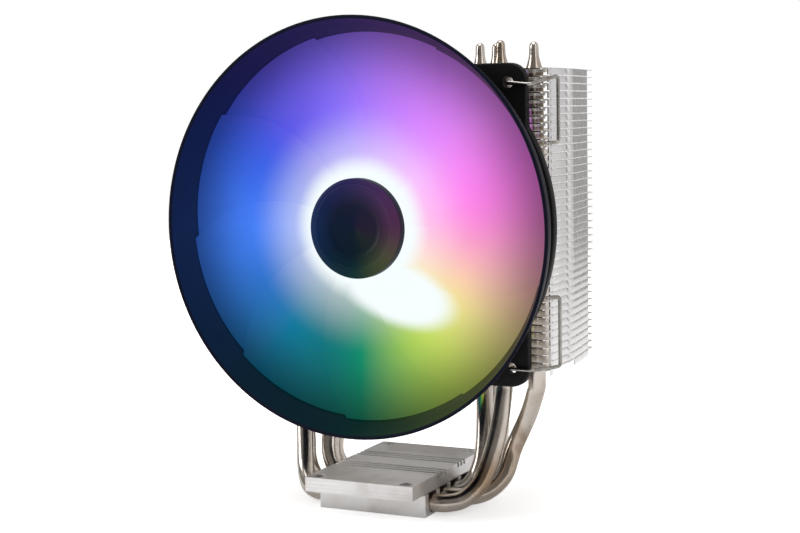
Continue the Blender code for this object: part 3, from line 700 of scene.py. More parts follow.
nickel_plate = worked_metal(
    "nickel_plate", NICKEL_CLEAN, NICKEL_WARM, (0.14, 0.26), (260.0, 260.0, 60.0), 0.00006, 38.0, (0.46, 0.72), 0.35
)
for number in range(1, 5):
    path, radii = pipe_path(number - 1)
    pipe = build_piece(f"bent_pipe_{number}", *rod_along(path, radii, PIPE_SIDES), nickel_plate, 60.0)
    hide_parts(f"heat_pipe_{number}")
    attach(pipe, "cooler")


# ---------------------------------------------------------------- Fins
# Forty sheets of 0.4 mm aluminium, pressed with a drawn collar round each pipe and with their sides
# folded down, so that each fold stands on the next fin and closes the side; small tabs lock them.
FIN_TOP = 146.0 * MM
FIN_PITCH = 2.49 * MM
FIN_SHEET = 0.32 * MM
FINS_IN_STACK = 4
STACKS = 10
FIN_HALF = 57.5 * MM
FIN_REAR_HALF = 55.2 * MM
FOLD_FRONT = -0.3 * MM
FOLD_KNEE = 20.5 * MM
FOLD_REAR = 42.0 * MM
TAB_PLACE = 15.2 * MM
TAB_HALF = 1.7 * MM
TAB_DENT = 0.55 * MM
COLLAR_INNER = 3.05 * MM
COLLAR_SIDES = 20
COLLAR_PROFILE = ((4.1, -0.30), (3.55, -0.5), (3.45, -1.3), (3.08, -1.3), (3.06, -0.02), (4.1, -0.02))
FOLD_DROP = 2.40 * MM
LAST_FOLD_DROP = 0.6 * MM
STRIP_DROP = 2.2
STRIP_OUTSIDE = 57.42
STRIP_ALONG = (-2.9, -0.55)
SWAY_HEIGHT = 0.10 * MM
KINK_HEIGHT = 0.30 * MM
KINK_PLACE = 56.0 * MM
KINK_WIDTH = 0.5 * MM
FRONT_LIP_EDGE = -3.0 * MM
FIN_BRIGHT = (0.80, 0.795, 0.80, 1.0)
FIN_DULL = (0.70, 0.685, 0.68, 1.0)


def sheet_from_outlines(name, outlines, low, high):
    """A flat sheet in XY between two heights, whose first outline is its edge and the others its holes."""
    curve = bpy.data.curves.new(name, "CURVE")
    curve.dimensions = "2D"
    curve.fill_mode = "BOTH"
    curve.extrude = (high - low) / 2
    for outline in outlines:
        spline = curve.splines.new("POLY")
        spline.points.add(len(outline) - 1)
        flat = np.zeros((len(outline), 4))
        flat[:, :2] = outline
        flat[:, 3] = 1.0
        spline.points.foreach_set("co", flat.ravel())
        spline.use_cyclic_u = True
    guide = bpy.data.objects.new(name, curve)
    bpy.context.scene.collection.objects.link(guide)
    bpy.context.view_layer.update()
    mesh = bpy.data.meshes.new_from_object(guide.evaluated_get(bpy.context.evaluated_depsgraph_get()))
    bpy.data.objects.remove(guide)
    points = np.empty(len(mesh.vertices) * 3)
    mesh.vertices.foreach_get("co", points)
    points = points.reshape(-1, 3) + [0.0, 0.0, (high + low) / 2]
    faces = [list(face.vertices) for face in mesh.polygons]
    bpy.data.meshes.remove(mesh)
    return points, faces


def fin_outlines():
    """A fin's edge with a nick at each front corner and stepped rear corners, and its eight pipe holes."""
    right = np.array(
        [
            (53.0, -5.0),
            (55.6, -5.0),
            (56.3, -4.3),
            (56.9, -4.9),
            (57.5, -4.6),
            (57.5, -3.4),
            (57.1, -2.9),
            (57.1, 20.5),
            (54.8, 42.1),
            (55.2, 43.4),
            (55.2, 47.1),
            (54.8, 47.5),
        ]
    )
    edge = np.concatenate([right, right[::-1] * [-1.0, 1.0]]) * MM
    angle = np.linspace(0.0, 2 * np.pi, COLLAR_SIDES, endpoint=False)
    circle = np.stack([np.cos(angle), np.sin(angle)], axis=-1) * (COLLAR_INNER + 0.1 * MM)
    holes = [circle + np.array([side * x, y]) * MM for x, y in PIPE_TOWER_PLACES for side in (1, -1)]
    return [edge, *holes]


def side_fold(side, drop, front_drop):
    """The folded side of one fin, its top at height 0, drop long behind the knee and front_drop in front of it.

    A thin closed section of (outward, height) is carried along the fin's side edge; near the tab the section's
    upper part is pressed in by a smooth dent, and in front it bellies inwards a little.
    """
    place_y = np.concatenate(
        [
            np.linspace(FOLD_FRONT, TAB_PLACE - 2 * TAB_HALF, 12),
            np.linspace(TAB_PLACE - 1.5 * TAB_HALF, TAB_PLACE + 1.5 * TAB_HALF, 9),
            np.linspace(TAB_PLACE + 2 * TAB_HALF, FOLD_KNEE, 3),
            np.linspace(FOLD_KNEE + 0.6 * MM, FOLD_REAR, 6),
        ]
    )
    edge_x = np.interp(place_y, [FOLD_FRONT, FOLD_KNEE, FOLD_REAR], [FIN_HALF, FIN_HALF, FIN_REAR_HALF])
    section = np.array(
        [(-0.9, 0.0), (-0.22, 0.0), (-0.06, -0.08), (0.0, -0.26), (0.0, -1.3), (0.0, -2.15), (-0.16, -2.40)]
        + [(-0.50, -2.40), (-0.34, -2.10), (-0.34, -1.3), (-0.34, -0.34), (-0.9, -0.34)]
    )
    outward = section[:, 0] * MM
    long = np.where(place_y > FOLD_KNEE, drop, front_drop)
    dent = np.clip(1.0 - np.abs(place_y - TAB_PLACE) / TAB_HALF, 0.0, 1.0) ** 0.5
    upper = np.clip(1.0 + section[:, 1] / 1.3, 0.0, 1.0)
    belly = 0.22 * MM * np.clip(1.0 - (place_y - FOLD_FRONT) / (8.0 * MM), 0.0, 1.0)
    middle = np.sin(np.pi * np.clip(-section[:, 1] / 2.40, 0.0, 1.0))
    outer = (section[:, 0] > -0.6).astype(float)
    inset = dent[:, None] * (upper * outer)[None] * TAB_DENT + belly[:, None] * (middle * outer)[None]
    points = np.empty((len(place_y), len(section), 3))
    points[..., 0] = side * (edge_x[:, None] + outward[None] - inset)
    points[..., 1] = place_y[:, None]
    points[..., 2] = section[None, :, 1] * long[:, None] / (FOLD_DROP / MM)
    faces = grid_quads(len(place_y), len(section), ring_columns=True)
    faces.append(list(range(len(section))))
    faces.append(list(range((len(place_y) - 1) * len(section), len(place_y) * len(section))))
    return points.reshape(-1, 3), faces


def corner_strip(side, drop):
    """The short strip folded down at a fin's front corner, in front of the side fold, its top at height 0."""
    across = np.array([-0.34, 0.0])
    along = np.array(STRIP_ALONG)
    tall = np.array([-drop, -0.05])
    points = np.array([(side * (STRIP_OUTSIDE + a), y, z) for y in along for a in across for z in tall]) * MM
    faces = [[0, 1, 3, 2], [4, 6, 7, 5], [0, 4, 5, 1], [2, 3, 7, 6], [0, 2, 6, 4], [1, 5, 7, 3]]
    return points, faces


def pipe_collars():
    """The drawn collar round each pipe of one fin: a flared ring hanging from the sheet."""
    profile = np.array(COLLAR_PROFILE) * MM
    shapes = []
    for x, y in PIPE_TOWER_PLACES:
        for side in (1, -1):
            shapes.append(turned_about((side * x * MM, y * MM, 0.0), profile, COLLAR_SIDES))
    return shapes


def gather(shapes):
    """Several (points, faces) shapes as one."""
    points = []
    faces = []
    count = 0
    for shape_points, shape_faces in shapes:
        shape_points = np.asarray(shape_points).reshape(-1, 3)
        points.append(shape_points)
        faces += [[corner + count for corner in face] for face in shape_faces]
        count += len(shape_points)
    return np.concatenate(points), faces


fin_aluminium = worked_metal(
    "fin_aluminium", FIN_BRIGHT, FIN_DULL, (0.20, 0.30), (30.0, 400.0, 400.0), 0.00001, 25.0, (0.45, 0.75), 0.0, 0.13
)
fin_edge = fin_outlines()
fin_sheet = sheet_from_outlines("fin_sheet", fin_edge, -FIN_SHEET, 0.0)
collars = pipe_collars()
for stack in range(STACKS):
    shapes = []
    for fin in range(stack * FINS_IN_STACK, (stack + 1) * FINS_IN_STACK):
        top = FIN_TOP - fin * FIN_PITCH
        last = fin == STACKS * FINS_IN_STACK - 1
        sheet_points, sheet_faces = fin_sheet
        on_lip = sheet_points[:, 1] < FRONT_LIP_EDGE
        sway = SWAY_HEIGHT * np.sin(fin * 2.3 + sheet_points[:, 0] * 70.0)
        kink = KINK_HEIGHT * np.exp(-(((np.abs(sheet_points[:, 0]) - KINK_PLACE) / KINK_WIDTH) ** 2))
        lifted = sheet_points.copy()
        lifted[:, 2] += (sway - kink) * on_lip
        shapes.append((lifted + [0.0, 0.0, top], sheet_faces))
        for side in (1, -1):
            fold_points, fold_faces = side_fold(side, FOLD_DROP, LAST_FOLD_DROP if last else FOLD_DROP)
            shapes.append((fold_points + [0.0, 0.0, top], fold_faces))
            strip_points, strip_faces = corner_strip(side, STRIP_DROP)
            shapes.append((strip_points + [0.0, 0.0, top], strip_faces))
        for collar_points, collar_faces in collars:
            shapes.append((collar_points.reshape(-1, 3) + [0.0, 0.0, top], collar_faces))
    fins = build_piece(f"fins_{stack + 1:02d}", *gather(shapes), fin_aluminium, 32.0)
    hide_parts(f"fin_stack_{stack + 1:02d}")
    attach(fins, "cooler")


# ---------------------------------------------------------------- Fan frame
# The fan's frame, injection moulded in black plastic: a funnel that flares to a thin front lip, on
# a square rear flange with rounded corners, four struts and the motor's seat with its bearing tube.
FAN_AXIS_PLACE = (0.0, 0.0, 95.6 * MM)
FUNNEL_STEPS = 192
FUNNEL_OUTSIDE = ((67.55, 33.5), (67.9, 33.25), (68.0, 32.9), (67.85, 32.2), (66.9, 28.4), (66.0, 25.0), (63.5, 20.0))
FUNNEL_FOOT = ((61.0, 15.0), (59.9, 11.4), (59.4, 9.0), (59.4, 5.5))
FUNNEL_INSIDE = ((58.0, 5.5), (58.0, 9.0), (58.6, 11.8), (59.8, 15.0), (62.3, 20.0), (64.8, 25.0))
FUNNEL_MOUTH = ((65.9, 29.0), (66.75, 32.6), (66.95, 33.3), (67.2, 33.5))
# Eight LEDs stand round the hub, from the left side by way of below, each in its own hue.
ROYAL_BLUE = (0.05, 0.20, 0.90, 1.0)
AZURE = (0.01, 0.18, 0.40, 1.0)
SEA_GREEN = (0.01, 0.28, 0.14, 1.0)
LIME_YELLOW = (0.75, 0.80, 0.20, 1.0)
ROSE = (1.0, 0.30, 0.70, 1.0)
ORCHID = (0.80, 0.25, 1.0, 1.0)
VIOLET = (0.35, 0.18, 1.0, 1.0)
INDIGO = (0.08, 0.10, 0.80, 1.0)
LED_HUES = (ROYAL_BLUE, AZURE, SEA_GREEN, LIME_YELLOW, ROSE, ORCHID, VIOLET, INDIGO)
LED_PALE = (16.0 * MM, 42.0 * MM)
LED_FADE = (38.0 * MM, 68.0 * MM)
LED_FADED = 0.25
GLOW_RING = (17.5 * MM, 25.0 * MM)
GLOW_LOBE_PLACE = (12.0 * MM, 0.0, -20.5 * MM)
GLOW_LOBE_TURN = math.radians(18.0)
GLOW_LOBE_HALF = (23.0 * MM, 1.0, 11.0 * MM)
GLOW_LOBE_EDGE = (0.65, 1.1)
GLOW_WHITE = (0.92, 0.99, 1.0, 1.0)
WALL_LIT = 0.22
FLANGE_HALF = 52.15
FLANGE_CORNER = 6.0
FLANGE_DISC = 61.2
FLANGE_BORE = 58.5
FLANGE_STEPS = 360
CLIP_HOLE_PLACE = 46.0 * MM
CLIP_HOLE_RADIUS = 1.9 * MM
STRUT_ANGLES = (45.0, 135.0, 225.0, 315.0)
STRUT_WIDTHS = (4.0, 4.0, 4.0, 8.0)
MOTOR_SEAT_PROFILE = (
    (22.3, 5.5), (22.5, 5.7), (22.5, 7.5), (22.2, 7.8), (4.0, 7.8), (4.0, 23.7), (3.75, 24.0),
    (3.1, 24.0), (3.1, 6.5), (8.3, 6.5), (8.3, 5.5),
)


def flange_shape():
    """The rear flange as a ring: at each angle it runs from the bore out to a rounded square or, where that
    is smaller, a disc. A rounded square's radius is found from its straight side and its corner circle."""
    angle = np.linspace(0.0, 2 * np.pi, FLANGE_STEPS, endpoint=False)
    folded = np.abs((angle + np.pi / 4) % (np.pi / 2) - np.pi / 4)
    straight = FLANGE_HALF / np.cos(folded)
    centre = FLANGE_HALF - FLANGE_CORNER
    toward = centre * (np.cos(folded) + np.sin(folded))
    inside = toward**2 - 2 * centre**2 + FLANGE_CORNER**2
    rounded = toward + np.sqrt(np.clip(inside, 0.0, None))
    square = np.where(FLANGE_HALF * np.tan(folded) > centre, rounded, straight)
    outer = np.maximum(square, FLANGE_DISC)
    section = np.array(
        [(0.0, 0.0, 5.5), (1.0, -0.7, 5.5), (1.0, -0.2, 5.65), (1.0, 0.0, 6.1), (1.0, 0.0, 8.3)]
        + [(1.0, -0.12, 8.68), (1.0, -0.35, 8.92), (1.0, -0.8, 9.0), (0.0, 0.0, 9.0)]
    )
    radius = FLANGE_BORE + (outer[:, None] - FLANGE_BORE) * section[None, :, 0] + section[None, :, 1]
    height = np.broadcast_to(section[None, :, 2], radius.shape)
    points = np.stack([radius * np.cos(angle)[:, None], -height, radius * np.sin(angle)[:, None]], axis=-1)
    return points * MM + np.array(FAN_AXIS_PLACE), grid_quads(FLANGE_STEPS, len(section), True, True)


def strut_shape(angle, width):
    """One strut: a slightly crowned bar from the motor's seat out to the flange."""
    section = np.array([(-0.5, 5.5), (0.5, 5.5), (0.5, 7.1), (0.36, 7.6), (0.0, 7.8), (-0.36, 7.6), (-0.5, 7.1)])
    reach = np.array([21.0, 58.9])
    turn = math.radians(angle)
    across = section[:, 0] * width
    x = reach[:, None] * math.cos(turn) - across[None] * math.sin(turn)
    z = reach[:, None] * math.sin(turn) + across[None] * math.cos(turn)
    y = np.broadcast_to(-section[None, :, 1], x.shape)
    points = np.stack([x, y, z], axis=-1) * MM + np.array(FAN_AXIS_PLACE)
    count = len(section)
    faces = grid_quads(2, count, ring_columns=True)
    return points, faces + [list(range(count)), list(range(count, 2 * count))]


def moulded_plastic(name, tone, worn_tone, roughness, grain, grain_depth, specular=0.5, coat=0.0):
    """Moulded plastic with a fine grain; worn_tone lies in slow drifts over tone, and roughness is a pair."""
    material = bpy.data.materials.new(name)
    material.use_nodes = True
    nodes = material.node_tree.nodes
    links = material.node_tree.links
    nodes.clear()

    tone_frame = nodes.new("NodeFrame")
    tone_frame.label = "Colour: pigment and handling marks"
    grain_frame = nodes.new("NodeFrame")
    grain_frame.label = "Grain left by the mould"

    coordinates = nodes.new("ShaderNodeTexCoord")
    coordinates.label = "metres on the piece"
    coordinates.location = (-1000, 0)
    drift = nodes.new("ShaderNodeTexNoise")
    drift.label = "slow drift of handling marks"
    drift.parent = tone_frame
    drift.location = (-800, 200)
    drift.inputs["Scale"].default_value = 55.0
    drift.inputs["Detail"].default_value = 4.0
    tones = nodes.new("ShaderNodeMix")
    tones.label = "pigment to handled"
    tones.parent = tone_frame
    tones.location = (-500, 200)
    tones.data_type = "RGBA"
    tones.inputs["A"].default_value = tone
    tones.inputs["B"].default_value = worn_tone
    gloss = nodes.new("ShaderNodeMapRange")
    gloss.label = "shiny to dull"
    gloss.parent = tone_frame
    gloss.location = (-500, 0)
    gloss.inputs["From Min"].default_value = 0.35
    gloss.inputs["From Max"].default_value = 0.65
    gloss.inputs["To Min"].default_value = roughness[0]
    gloss.inputs["To Max"].default_value = roughness[1]
    mould_grain = nodes.new("ShaderNodeTexNoise")
    mould_grain.label = "mould grain"
    mould_grain.parent = grain_frame
    mould_grain.location = (-800, -250)
    mould_grain.inputs["Scale"].default_value = grain
    mould_grain.inputs["Detail"].default_value = 3.0
    relief = nodes.new("ShaderNodeBump")
    relief.label = "grain relief"
    relief.parent = grain_frame
    relief.location = (-500, -250)
    relief.inputs["Strength"].default_value = 0.5
    relief.inputs["Distance"].default_value = grain_depth
    shader = nodes.new("ShaderNodeBsdfPrincipled")
    shader.label = "plastic"
    shader.location = (-200, 0)
    shader.inputs["Specular IOR Level"].default_value = specular
    shader.inputs["Coat Weight"].default_value = coat
    shader.inputs["Coat Roughness"].default_value = 0.05
    output = nodes.new("ShaderNodeOutputMaterial")
    output.label = name
    output.location = (100, 0)

    links.new(coordinates.outputs["Object"], drift.inputs["Vector"])
    links.new(drift.outputs["Fac"], tones.inputs["Factor"])
    links.new(tones.outputs["Result"], shader.inputs["Base Color"])
    links.new(drift.outputs["Fac"], gloss.inputs["Value"])
    links.new(gloss.outputs["Result"], shader.inputs["Roughness"])
    links.new(coordinates.outputs["Object"], mould_grain.inputs["Vector"])
    links.new(mould_grain.outputs["Fac"], relief.inputs["Height"])
    links.new(relief.outputs["Normal"], shader.inputs["Normal"])
    links.new(shader.outputs["BSDF"], output.inputs["Surface"])
    return material


def led_lit(name, tone, roughness, pale=0.0, glowing=False):
    """Plastic with the LEDs' light painted on as emission, as much as the piece's own "lit" attribute says.

    The hue goes round the fan from LED to LED. pale is how white it is next to the hub, where the LEDs' light
    mixes, and the strength fades towards the rim. A glowing piece also shows the LEDs' own white glow: a ring
    round the hub, and a lobe where the light spills farthest.
    """
    material = bpy.data.materials.new(name)
    material.use_nodes = True
    nodes = material.node_tree.nodes
    links = material.node_tree.links
    nodes.clear()

    polar_frame = nodes.new("NodeFrame")
    polar_frame.label = "Angle and distance from the fan's axis"
    colour_frame = nodes.new("NodeFrame")
    colour_frame.label = "Colours of the LEDs round the hub"
    plastic_frame = nodes.new("NodeFrame")
    plastic_frame.label = "Plastic"

    coordinates = nodes.new("ShaderNodeTexCoord")
    coordinates.label = "metres on the piece"
    coordinates.parent = polar_frame
    centred = nodes.new("ShaderNodeMapping")
    centred.label = "measured from the axis"
    centred.parent = polar_frame
    centred.inputs["Location"].default_value = (0.0, 0.0, -FAN_AXIS_PLACE[2])
    flat = nodes.new("ShaderNodeVectorMath")
    flat.label = "depth left out"
    flat.parent = polar_frame
    flat.operation = "MULTIPLY"
    flat.inputs[1].default_value = (1.0, 0.0, 1.0)
    distance = nodes.new("ShaderNodeVectorMath")
    distance.label = "distance from the axis"
    distance.parent = polar_frame
    distance.operation = "LENGTH"
    parts = nodes.new("ShaderNodeSeparateXYZ")
    parts.label = "across and up"
    parts.parent = polar_frame
    turn = nodes.new("ShaderNodeMath")
    turn.label = "angle round the axis"
    turn.parent = polar_frame
    turn.operation = "ARCTAN2"
    share = nodes.new("ShaderNodeMapRange")
    share.label = "angle as a share of a turn"
    share.parent = polar_frame
    share.inputs["From Min"].default_value = -math.pi
    share.inputs["From Max"].default_value = math.pi
    links.new(coordinates.outputs["Object"], centred.inputs["Vector"])
    links.new(centred.outputs["Vector"], flat.inputs[0])
    links.new(flat.outputs["Vector"], distance.inputs[0])
    links.new(flat.outputs["Vector"], parts.inputs["Vector"])
    links.new(parts.outputs["Z"], turn.inputs[0])
    links.new(parts.outputs["X"], turn.inputs[1])
    links.new(turn.outputs["Value"], share.inputs["Value"])

    hues = nodes.new("ShaderNodeValToRGB")
    hues.label = "hues from LED to LED"
    hues.parent = colour_frame
    hues.color_ramp.interpolation = "CARDINAL"
    stops = hues.color_ramp.elements
    for _ in range(len(LED_HUES) - 1):
        stops.new(0.5)
    for index in range(len(LED_HUES) + 1):
        stops[index].position = index / len(LED_HUES)
        stops[index].color = LED_HUES[index % len(LED_HUES)]
    paling = nodes.new("ShaderNodeMapRange")
    paling.label = "paler next to the hub"
    paling.parent = colour_frame
    paling.interpolation_type = "SMOOTHSTEP"
    paling.inputs["From Min"].default_value = LED_PALE[0]
    paling.inputs["From Max"].default_value = LED_PALE[1]
    paling.inputs["To Min"].default_value = pale
    paling.inputs["To Max"].default_value = 0.0
    mixed = nodes.new("ShaderNodeMix")
    mixed.label = "hue and mixed white"
    mixed.parent = colour_frame
    mixed.data_type = "RGBA"
    mixed.inputs["B"].default_value = (1.0, 1.0, 1.0, 1.0)
    fading = nodes.new("ShaderNodeMapRange")
    fading.label = "weaker towards the rim"
    fading.parent = colour_frame
    fading.interpolation_type = "SMOOTHSTEP"
    fading.inputs["From Min"].default_value = LED_FADE[0]
    fading.inputs["From Max"].default_value = LED_FADE[1]
    fading.inputs["To Min"].default_value = 1.0
    fading.inputs["To Max"].default_value = LED_FADED
    links.new(share.outputs["Result"], hues.inputs["Fac"])
    links.new(distance.outputs["Value"], paling.inputs["Value"])
    links.new(paling.outputs["Result"], mixed.inputs["Factor"])
    links.new(hues.outputs["Color"], mixed.inputs["A"])
    links.new(distance.outputs["Value"], fading.inputs["Value"])

    cloud = nodes.new("ShaderNodeTexNoise")
    cloud.label = "uneven milkiness"
    cloud.parent = colour_frame
    cloud.inputs["Scale"].default_value = 30.0
    cloud_range = nodes.new("ShaderNodeMapRange")
    cloud_range.label = "a tenth brighter or darker"
    cloud_range.parent = colour_frame
    cloud_range.inputs["To Min"].default_value = 0.85
    cloud_range.inputs["To Max"].default_value = 1.12
    clouded = nodes.new("ShaderNodeMix")
    clouded.label = "colour with clouds"
    clouded.parent = colour_frame
    clouded.data_type = "RGBA"
    clouded.blend_type = "MULTIPLY"
    clouded.inputs["Factor"].default_value = 1.0
    links.new(coordinates.outputs["Object"], cloud.inputs["Vector"])
    links.new(cloud.outputs["Fac"], cloud_range.inputs["Value"])
    links.new(mixed.outputs["Result"], clouded.inputs["A"])
    links.new(cloud_range.outputs["Result"], clouded.inputs["B"])
    blended = clouded.outputs["Result"]

    if glowing:
        glow_frame = nodes.new("NodeFrame")
        glow_frame.label = "White glow next to the LEDs"
        ring = nodes.new("ShaderNodeMapRange")
        ring.label = "ring round the hub"
        ring.parent = glow_frame
        ring.interpolation_type = "SMOOTHSTEP"
        ring.inputs["From Min"].default_value = GLOW_RING[0]
        ring.inputs["From Max"].default_value = GLOW_RING[1]
        ring.inputs["To Min"].default_value = 1.0
        ring.inputs["To Max"].default_value = 0.0
        lobe_place = nodes.new("ShaderNodeMapping")
        lobe_place.label = "measured in the lobe's half sizes"
        lobe_place.parent = glow_frame
        lobe_place.vector_type = "TEXTURE"
        lobe_place.inputs["Location"].default_value = GLOW_LOBE_PLACE
        lobe_place.inputs["Rotation"].default_value = (0.0, GLOW_LOBE_TURN, 0.0)
        lobe_place.inputs["Scale"].default_value = GLOW_LOBE_HALF
        lobe_distance = nodes.new("ShaderNodeVectorMath")
        lobe_distance.label = "distance from the lobe's middle"
        lobe_distance.parent = glow_frame
        lobe_distance.operation = "LENGTH"
        lobe = nodes.new("ShaderNodeMapRange")
        lobe.label = "lobe of spilled light"
        lobe.parent = glow_frame
        lobe.interpolation_type = "SMOOTHSTEP"
        lobe.inputs["From Min"].default_value = GLOW_LOBE_EDGE[0]
        lobe.inputs["From Max"].default_value = GLOW_LOBE_EDGE[1]
        lobe.inputs["To Min"].default_value = 1.0
        lobe.inputs["To Max"].default_value = 0.0
        glow = nodes.new("ShaderNodeMath")
        glow.label = "ring or lobe"
        glow.parent = glow_frame
        glow.operation = "MAXIMUM"
        whitened = nodes.new("ShaderNodeMix")
        whitened.label = "glow over the colours"
        whitened.parent = glow_frame
        whitened.data_type = "RGBA"
        whitened.inputs["B"].default_value = GLOW_WHITE
        links.new(distance.outputs["Value"], ring.inputs["Value"])
        links.new(flat.outputs["Vector"], lobe_place.inputs["Vector"])
        links.new(lobe_place.outputs["Vector"], lobe_distance.inputs[0])
        links.new(lobe_distance.outputs["Value"], lobe.inputs["Value"])
        links.new(ring.outputs["Result"], glow.inputs[0])
        links.new(lobe.outputs["Result"], glow.inputs[1])
        links.new(glow.outputs["Value"], whitened.inputs["Factor"])
        links.new(blended, whitened.inputs["A"])
        blended = whitened.outputs["Result"]

    lit = nodes.new("ShaderNodeAttribute")
    lit.label = "where the light comes through"
    lit.parent = plastic_frame
    lit.attribute_name = "lit"
    strength = nodes.new("ShaderNodeMath")
    strength.label = "light here"
    strength.parent = plastic_frame
    strength.operation = "MULTIPLY"
    shader = nodes.new("ShaderNodeBsdfPrincipled")
    shader.label = name
    shader.parent = plastic_frame
    shader.inputs["Base Color"].default_value = tone
    shader.inputs["Roughness"].default_value = roughness
    shader.inputs["Specular IOR Level"].default_value = 0.06
    output = nodes.new("ShaderNodeOutputMaterial")
    output.label = name
    links.new(blended, shader.inputs["Emission Color"])
    links.new(lit.outputs["Fac"], strength.inputs[0])
    links.new(fading.outputs["Result"], strength.inputs[1])
    links.new(strength.outputs["Value"], shader.inputs["Emission Strength"])
    links.new(shader.outputs["BSDF"], output.inputs["Surface"])
    for place, node in enumerate(node for node in nodes if node.type != "FRAME"):
        node.location = (260.0 * (place // 3), -320.0 * (place % 3))
    return material


def mark_lit(piece, levels):
    """Writes how strongly each vertex is lit from within, as the piece's "lit" attribute."""
    attribute = piece.data.attributes.new("lit", "FLOAT", "POINT")
    attribute.data.foreach_set("value", np.ascontiguousarray(np.broadcast_to(levels, len(piece.data.vertices))))


satin_black = moulded_plastic(
    "satin_black", (0.003, 0.003, 0.0035, 1.0), (0.006, 0.0055, 0.006, 1.0), (0.48, 0.60), 2200.0, 0.00002, 0.2
)
funnel_profile = np.array(FUNNEL_OUTSIDE + FUNNEL_FOOT + FUNNEL_INSIDE + FUNNEL_MOUTH) * MM
# The funnel's inside carries a painted glow in the LEDs' colours, standing for the light the lit blades throw onto
# it, over a blue-black tone that is a painted tint of the same light.
lit_wall = led_lit("black_wall_lit_by_leds", (0.004, 0.005, 0.014, 1.0), 0.5)
funnel = build_piece(
    "fan_funnel", *turned_about(FAN_AXIS_PLACE, funnel_profile, FUNNEL_STEPS, "fan"), lit_wall, 50.0
)
wall_lit = np.zeros(len(funnel_profile))
wall_lit[-len(FUNNEL_INSIDE + FUNNEL_MOUTH) : -2] = WALL_LIT
mark_lit(funnel, np.tile(wall_lit, FUNNEL_STEPS))
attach(funnel, "cooler")

flange = build_piece("fan_flange", *flange_shape(), satin_black, 30.0)
hole_places = [(x * CLIP_HOLE_PLACE, z * CLIP_HOLE_PLACE) for x in (1, -1) for z in (1, -1)]
clip_holes = [
    drill("clip_hole", (x, 0.0, FAN_AXIS_PLACE[2] + z), CLIP_HOLE_RADIUS, 3.0 * MM, 12.0 * MM, "fan")
    for x, z in hole_places
]
cut_away(flange, clip_holes)
flange.data.shade_smooth()
flange.data.set_sharp_from_angle(angle=math.radians(30.0))
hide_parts("fan_frame")
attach(flange, "cooler")

seat_shapes = [turned_about(FAN_AXIS_PLACE, np.array(MOTOR_SEAT_PROFILE) * MM, 96, "fan")]
seat_shapes += [strut_shape(angle, width) for angle, width in zip(STRUT_ANGLES, STRUT_WIDTHS)]
seat = build_piece("motor_seat_and_struts", *gather(seat_shapes), satin_black, 35.0)
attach(seat, "cooler")


# ---------------------------------------------------------------- Impeller
# Nine wide blades and their hub ring, moulded in one piece from milky plastic. The LEDs under the
# hub fill them with light: almost white near the hub, and each LED's own colour towards the tips.
BLADE_COUNT = 9
BLADE_ROOT = 15.6
BLADE_FRONT = 23.6
BLADE_BACK = 12.2
BLADE_THICKNESS = 1.3
BLADE_SWEEP = math.radians(24.0)
BLADE_SPAN = math.radians(54.0)
BLADE_FALL = 1.8
BLADE_HEM_FROM = 0.76
BLADE_TIP_GAP = 0.7
BLADE_ROWS = 15
BLADE_LOOP = 31
HUB_RING = ((16.3, 24.2), (16.3, 11.6), (14.9, 11.6), (14.9, 24.2))


def blade_shape(turn):
    """One blade as a closed loft: rows run from root to tip, and a loop runs along the front skin and back.

    Along the blade the height falls gently from the leading edge, and the last part turns down under the next
    blade; the angle grows with the distance along and, by sweep, with the distance from the root; the thickness
    swells in the middle."""
    across = np.linspace(0.0, 1.0, BLADE_ROWS)[:, None]
    there = 0.5 - 0.5 * np.cos(np.linspace(0.0, np.pi, BLADE_LOOP))
    along = np.concatenate([there, there[-2:0:-1]])[None]
    side = np.concatenate([np.ones(BLADE_LOOP), -np.ones(BLADE_LOOP - 2)])[None]
    side[0, 0] = side[0, BLADE_LOOP - 1] = 0.0
    hem = np.clip((along - BLADE_HEM_FROM) / (1.0 - BLADE_HEM_FROM), 0.0, 1.0)
    height = BLADE_FRONT - BLADE_FALL * along - (BLADE_FRONT - BLADE_BACK - BLADE_FALL) * hem**1.5 + 0.0 * across
    inside = np.array(sorted((h, r) for r, h in FUNNEL_INSIDE))
    tip = np.interp(height, inside[:, 0], inside[:, 1]) - BLADE_TIP_GAP
    radius = BLADE_ROOT + (tip - BLADE_ROOT) * across
    angle = turn + BLADE_SWEEP * across**1.5 + BLADE_SPAN * along
    swell = 0.35 + 0.65 * np.sin(np.pi * np.minimum(1.0, 0.15 + 0.85 * along))
    height = height + side * BLADE_THICKNESS / 2 * swell
    points = np.stack([radius * np.cos(angle), -height, radius * np.sin(angle)], axis=-1)
    loop = along.shape[1]
    faces = grid_quads(BLADE_ROWS, loop, ring_columns=True)
    faces.append(list(range(loop)))
    faces.append(list(range((BLADE_ROWS - 1) * loop, BLADE_ROWS * loop)))
    return points * MM + np.array(FAN_AXIS_PLACE), faces


lit_plastic = led_lit("milky_plastic_lit_by_leds", (0.004, 0.004, 0.005, 1.0), 0.6, 0.5, True)
impeller_shapes = [turned_about(FAN_AXIS_PLACE, np.array(HUB_RING) * MM, 128, "fan")]
impeller_shapes += [blade_shape(index * math.tau / BLADE_COUNT) for index in range(BLADE_COUNT)]
impeller = build_piece("blades_and_hub_ring", *gather(impeller_shapes), lit_plastic, 50.0)
mark_lit(impeller, 1.0)
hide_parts("impeller")
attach(impeller, "rotor")


